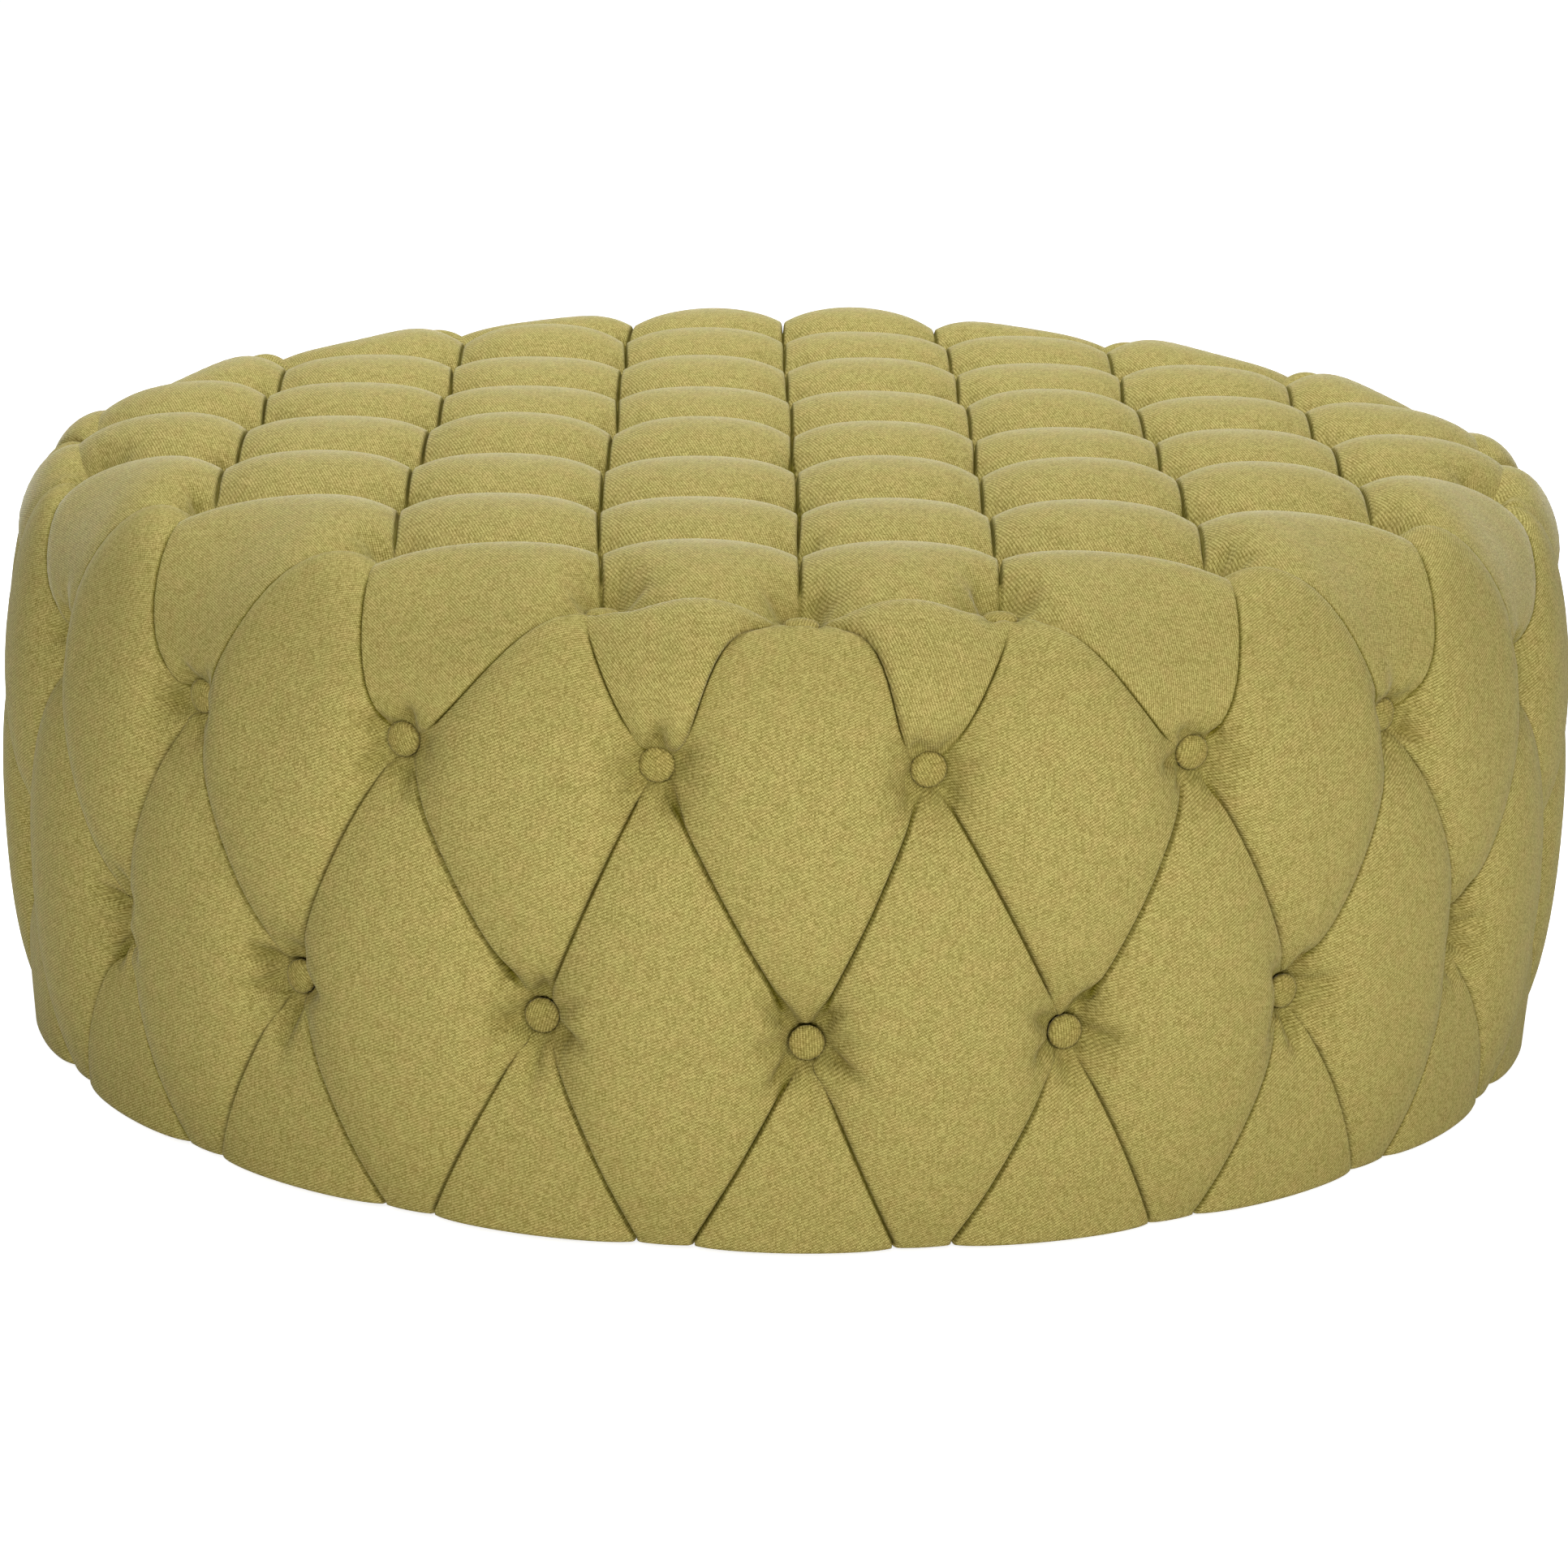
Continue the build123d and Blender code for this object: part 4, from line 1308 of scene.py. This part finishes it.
def slab_form(points):
    """The foam's face, pressed in under the tufts and a little uneven."""
    made = points.copy()
    upper = points[:, 2] > SLAB_MIDDLE
    waves = SLAB_WAVE * np.sin(points[:, 0] / (31 * MM)) * np.sin(points[:, 1] / (27 * MM) + 1)
    made[:, 2] -= np.where(upper, pressed_down(points) + np.abs(waves), 0)
    return made


# Profiles of the foam, the dust cover and the glides: (radius, level) in millimetres
SLAB_MIDDLE, SLAB_WAVE = 328 * MM, 0.25 * MM
SLAB_RINGS = np.linspace(0, 450, 76)
SLAB_ROUND = [(450 + 16 * math.sin(a), 329 + 16 * math.cos(a)) for a in np.linspace(0.25, math.pi / 2, 6)]
SLAB_PROFILE = [(0, 323.1), (200, 323.1), (440, 323.1), (464.5, 323.1), (466, 324.6), *SLAB_ROUND[::-1],
                *((r, 345) for r in SLAB_RINGS[::-1])]
slab = turned("foam_slab", SLAB_PROFILE, 360, closed=False)
reshape(slab, slab_form)
stand_for(slab, "top_foam", FOAM)


def band_form(points):
    """The foam wrapped round the drum, pressed in under the tufts and a little uneven."""
    angle = np.arctan2(points[:, 1], points[:, 0])
    radius = np.hypot(points[:, 0], points[:, 1])
    outer = radius > BAND_MIDDLE
    push = BAND_WAVE * np.abs(np.sin(9 * angle) * np.sin(points[:, 2] / (38 * MM))) - pressed_in(points)
    share = 1 + np.where(outer, push, 0) / radius
    return points * np.stack([share, share, np.ones(len(points))], 1)


BAND_MIDDLE, BAND_WAVE = 462 * MM, 0.3 * MM
BAND_PROFILE = [*((466, z) for z in wall_levels(11, 320.7)), (465.4, 322.1), (464, 322.7), (460, 322.7),
                (458.3, 321.4), (458.1, 320), (458.1, 12), (458.3, 9.6), (460, 9.1), (464, 9.1), (465.4, 9.6)]
band = turned("foam_band", BAND_PROFILE, WALL_TURNS)
reshape(band, band_form)
stand_for(band, "side_foam", FOAM)


def dust_form(points):
    """The dust cover, pulled tight between its staples and sagging a little in its middle."""
    made = points.copy()
    radius = np.hypot(points[:, 0], points[:, 1])
    angle = np.arctan2(points[:, 1], points[:, 0])
    slack = 0.5 - 0.5 * np.cos(STAPLES * angle)
    edge = smooth_step((radius - EDGE_RADIUS) / EDGE_WIDTH)
    share = 1 - slack * edge * EDGE_SLACK / np.maximum(radius, MM)
    made[:, :2] *= share[:, None]
    made[:, 2] -= DUST_SAG * (1 - smooth_step(radius / FLAT_RADIUS))
    made[:, 2] -= EDGE_SAG * edge * slack
    return made


STAPLES, STAPLE_RADIUS = 20, 436
EDGE_RADIUS, EDGE_WIDTH, EDGE_SLACK, EDGE_SAG = 400 * MM, 44 * MM, 1.2 * MM, 0.35 * MM
FLAT_RADIUS, DUST_SAG = 380 * MM, 2.2 * MM
COVER_RINGS = (0, 50, 110, 170, 230, 290, 340, 380, 400, 412, 422, 427.4, 428, 428.6, 436, 442, 444)
# The hem is folded under from 428 mm out, so the cloth is thicker there
DUST_PROFILE = [*((r, 8) for r in COVER_RINGS), *((r, 7.1 if r > 428 else 7.4) for r in COVER_RINGS[::-1])]
dust = turned("dust_cloth_sheet", DUST_PROFILE, 240, closed=False)
reshape(dust, dust_form)
stand_for(dust, "dust_cover", DUST_CLOTH)


# Along a staple and its level, in millimetres
STAPLE_PROFILE = [(-6, 7.4), (-6, 6.9), (-5.7, 6.66), (-5.2, 6.6), (5.2, 6.6), (5.7, 6.66), (6, 6.9), (6, 7.4)]
STAPLE_TURN_STRAY, STAPLE_TILT = 0.004, 0.16
WIRE_RADIUS = 0.4 * MM


def staple_wires():
    """Wire staples round the dust cover's edge, with their legs bent up into the cloth."""
    curve = bpy.data.curves.new("staple_wires", "CURVE")
    curve.dimensions = "3D"
    curve.bevel_depth = WIRE_RADIUS
    curve.bevel_resolution = 2
    for k in range(STAPLES):
        stray = chance.uniform(-STAPLE_TURN_STRAY, STAPLE_TURN_STRAY)
        turn = Matrix.Rotation(2 * math.pi * k / STAPLES + stray, 4, "Z")
        tilt = chance.uniform(-STAPLE_TILT, STAPLE_TILT)
        spline = curve.splines.new("POLY")
        spline.points.add(len(STAPLE_PROFILE) - 1)
        for point, (along, level) in zip(spline.points, STAPLE_PROFILE):
            x, y = STAPLE_RADIUS - along * math.sin(tilt), along * math.cos(tilt)
            point.co = (*(turn @ Vector((x * MM, y * MM, level * MM))), 1)
    shape = bpy.data.objects.new("staple_shape", curve)
    bpy.context.scene.collection.objects.link(shape)
    mesh = bpy.data.meshes.new_from_object(shape.evaluated_get(bpy.context.evaluated_depsgraph_get()))
    bpy.data.objects.remove(shape)
    mesh.name = "staples"
    obj = bpy.data.objects.new("staples", mesh)
    bpy.context.scene.collection.objects.link(obj)
    obj.data.shade_smooth()
    return obj


stand_for(staple_wires(), "dust_cover_staples", STEEL)

GLIDE_PROFILE = [(0, 1.9), (1.6, 1.8), (3.2, 1.4), (3.6, 1.9), (4.4, 2.1), (5.2, 1.6), (5.8, 0.7), (7.2, 0.15),
                 (9.5, 0), (12.4, 0), (14.4, 0.35), (15.5, 1.2), (16, 2.6), (16, 5.2), (15.6, 6.4), (15, 7),
                 (10, 7), (0, 7)]
GLIDE_RING, GLIDE_COUNT = 402.7 * MM, 6
GLIDES = [on_drum(2 * math.pi * k / GLIDE_COUNT, GLIDE_RING, 0)[:2] for k in range(GLIDE_COUNT)]
stand_for(turned("glide_feet", GLIDE_PROFILE, 40, GLIDES, closed=False), "glides", NYLON)

for material, slot, nodes in (
    (PLYWOOD, "plywood", ("deck_board", "top_ring", "base_ring", "hub_spacer")),
    (HARDBOARD, "fibreboard", ("side_wrap",)),
    (SOFTWOOD, "softwood", ("deck_rail", "deck_cross_rail", "base_rail", "base_cross_rail", "centre_post",
                            *(f"post_{n}" for n in range(1, 9)))),
):
    for node in nodes:
        wear(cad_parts[node], material)

# ---- floor, light and camera ----

floor = mesh_object("floor", [(-30, -30, 0), (30, -30, 0), (30, 30, 0), (-30, 30, 0)], [(0, 1, 2, 3)])
paper = Nodes("floor_paper")
seen = Value(paper, paper.node("ShaderNodeLightPath").outputs["Is Camera Ray"])
paper.surface(Base_Color=(0.93, 0.93, 0.93), Roughness=0.9, Emission_Color=(1, 1, 1), Emission_Strength=seen * 0.8)
wear(floor, paper.material)

world = bpy.data.worlds.new("studio")
bpy.context.scene.world = world
world.use_nodes = True
sky = world.node_tree.nodes["Background"].inputs
sky["Color"].default_value = (0.97, 1.0, 1.06, 1)
sky["Strength"].default_value = 0.26


def lamp(name, place, aim, size, power, colour=(1, 1, 1)):
    """A square area light that faces its aim."""
    light = bpy.data.lights.new(name, "AREA")
    light.shape = "RECTANGLE"
    light.size = light.size_y = size
    light.energy = power
    light.color = colour
    obj = bpy.data.objects.new(name, light)
    obj.location = place
    obj.rotation_mode = "QUATERNION"
    obj.rotation_quaternion = (Vector(aim) - Vector(place)).to_track_quat("-Z", "Y")
    bpy.context.scene.collection.objects.link(obj)


lamp("overhead", (-0.1, 0.8, 2.5), (0, 0, 0.3), 1.2, 57, (0.96, 1.0, 1.12))
lamp("front", (-0.3, -3.7, 1.7), (0, 0, 0.2), 0.8, 74)
lamp("front_right", (2.1, -2.9, 1.3), (0, 0, 0.2), 1.0, 33)

# The photo's camera, as fitted to its tufts and buttons
FOCAL_SHARE = 4924.5 / 1932
CAMERA_TURN, CAMERA_ROLL, CAMERA_PITCH = -0.0168, 0.0196, math.radians(90 - 15.98)
CAMERA_BACK, CAMERA_HEIGHT = 2.5523, 0.8692
camera_data = bpy.data.cameras.new("camera")
camera_data.sensor_width = 36
camera_data.lens = FOCAL_SHARE * camera_data.sensor_width
camera = bpy.data.objects.new("camera", camera_data)
bpy.context.scene.collection.objects.link(camera)
turn = Matrix.Rotation(CAMERA_TURN, 4, "Z")
tip = Matrix.Rotation(CAMERA_PITCH, 4, "X")
roll = Matrix.Rotation(CAMERA_ROLL, 4, "Z")
camera.matrix_world = turn @ Matrix.Translation((0, -CAMERA_BACK, CAMERA_HEIGHT)) @ tip @ roll
bpy.context.scene.camera = camera
bpy.context.scene.view_settings.view_transform = "Standard"
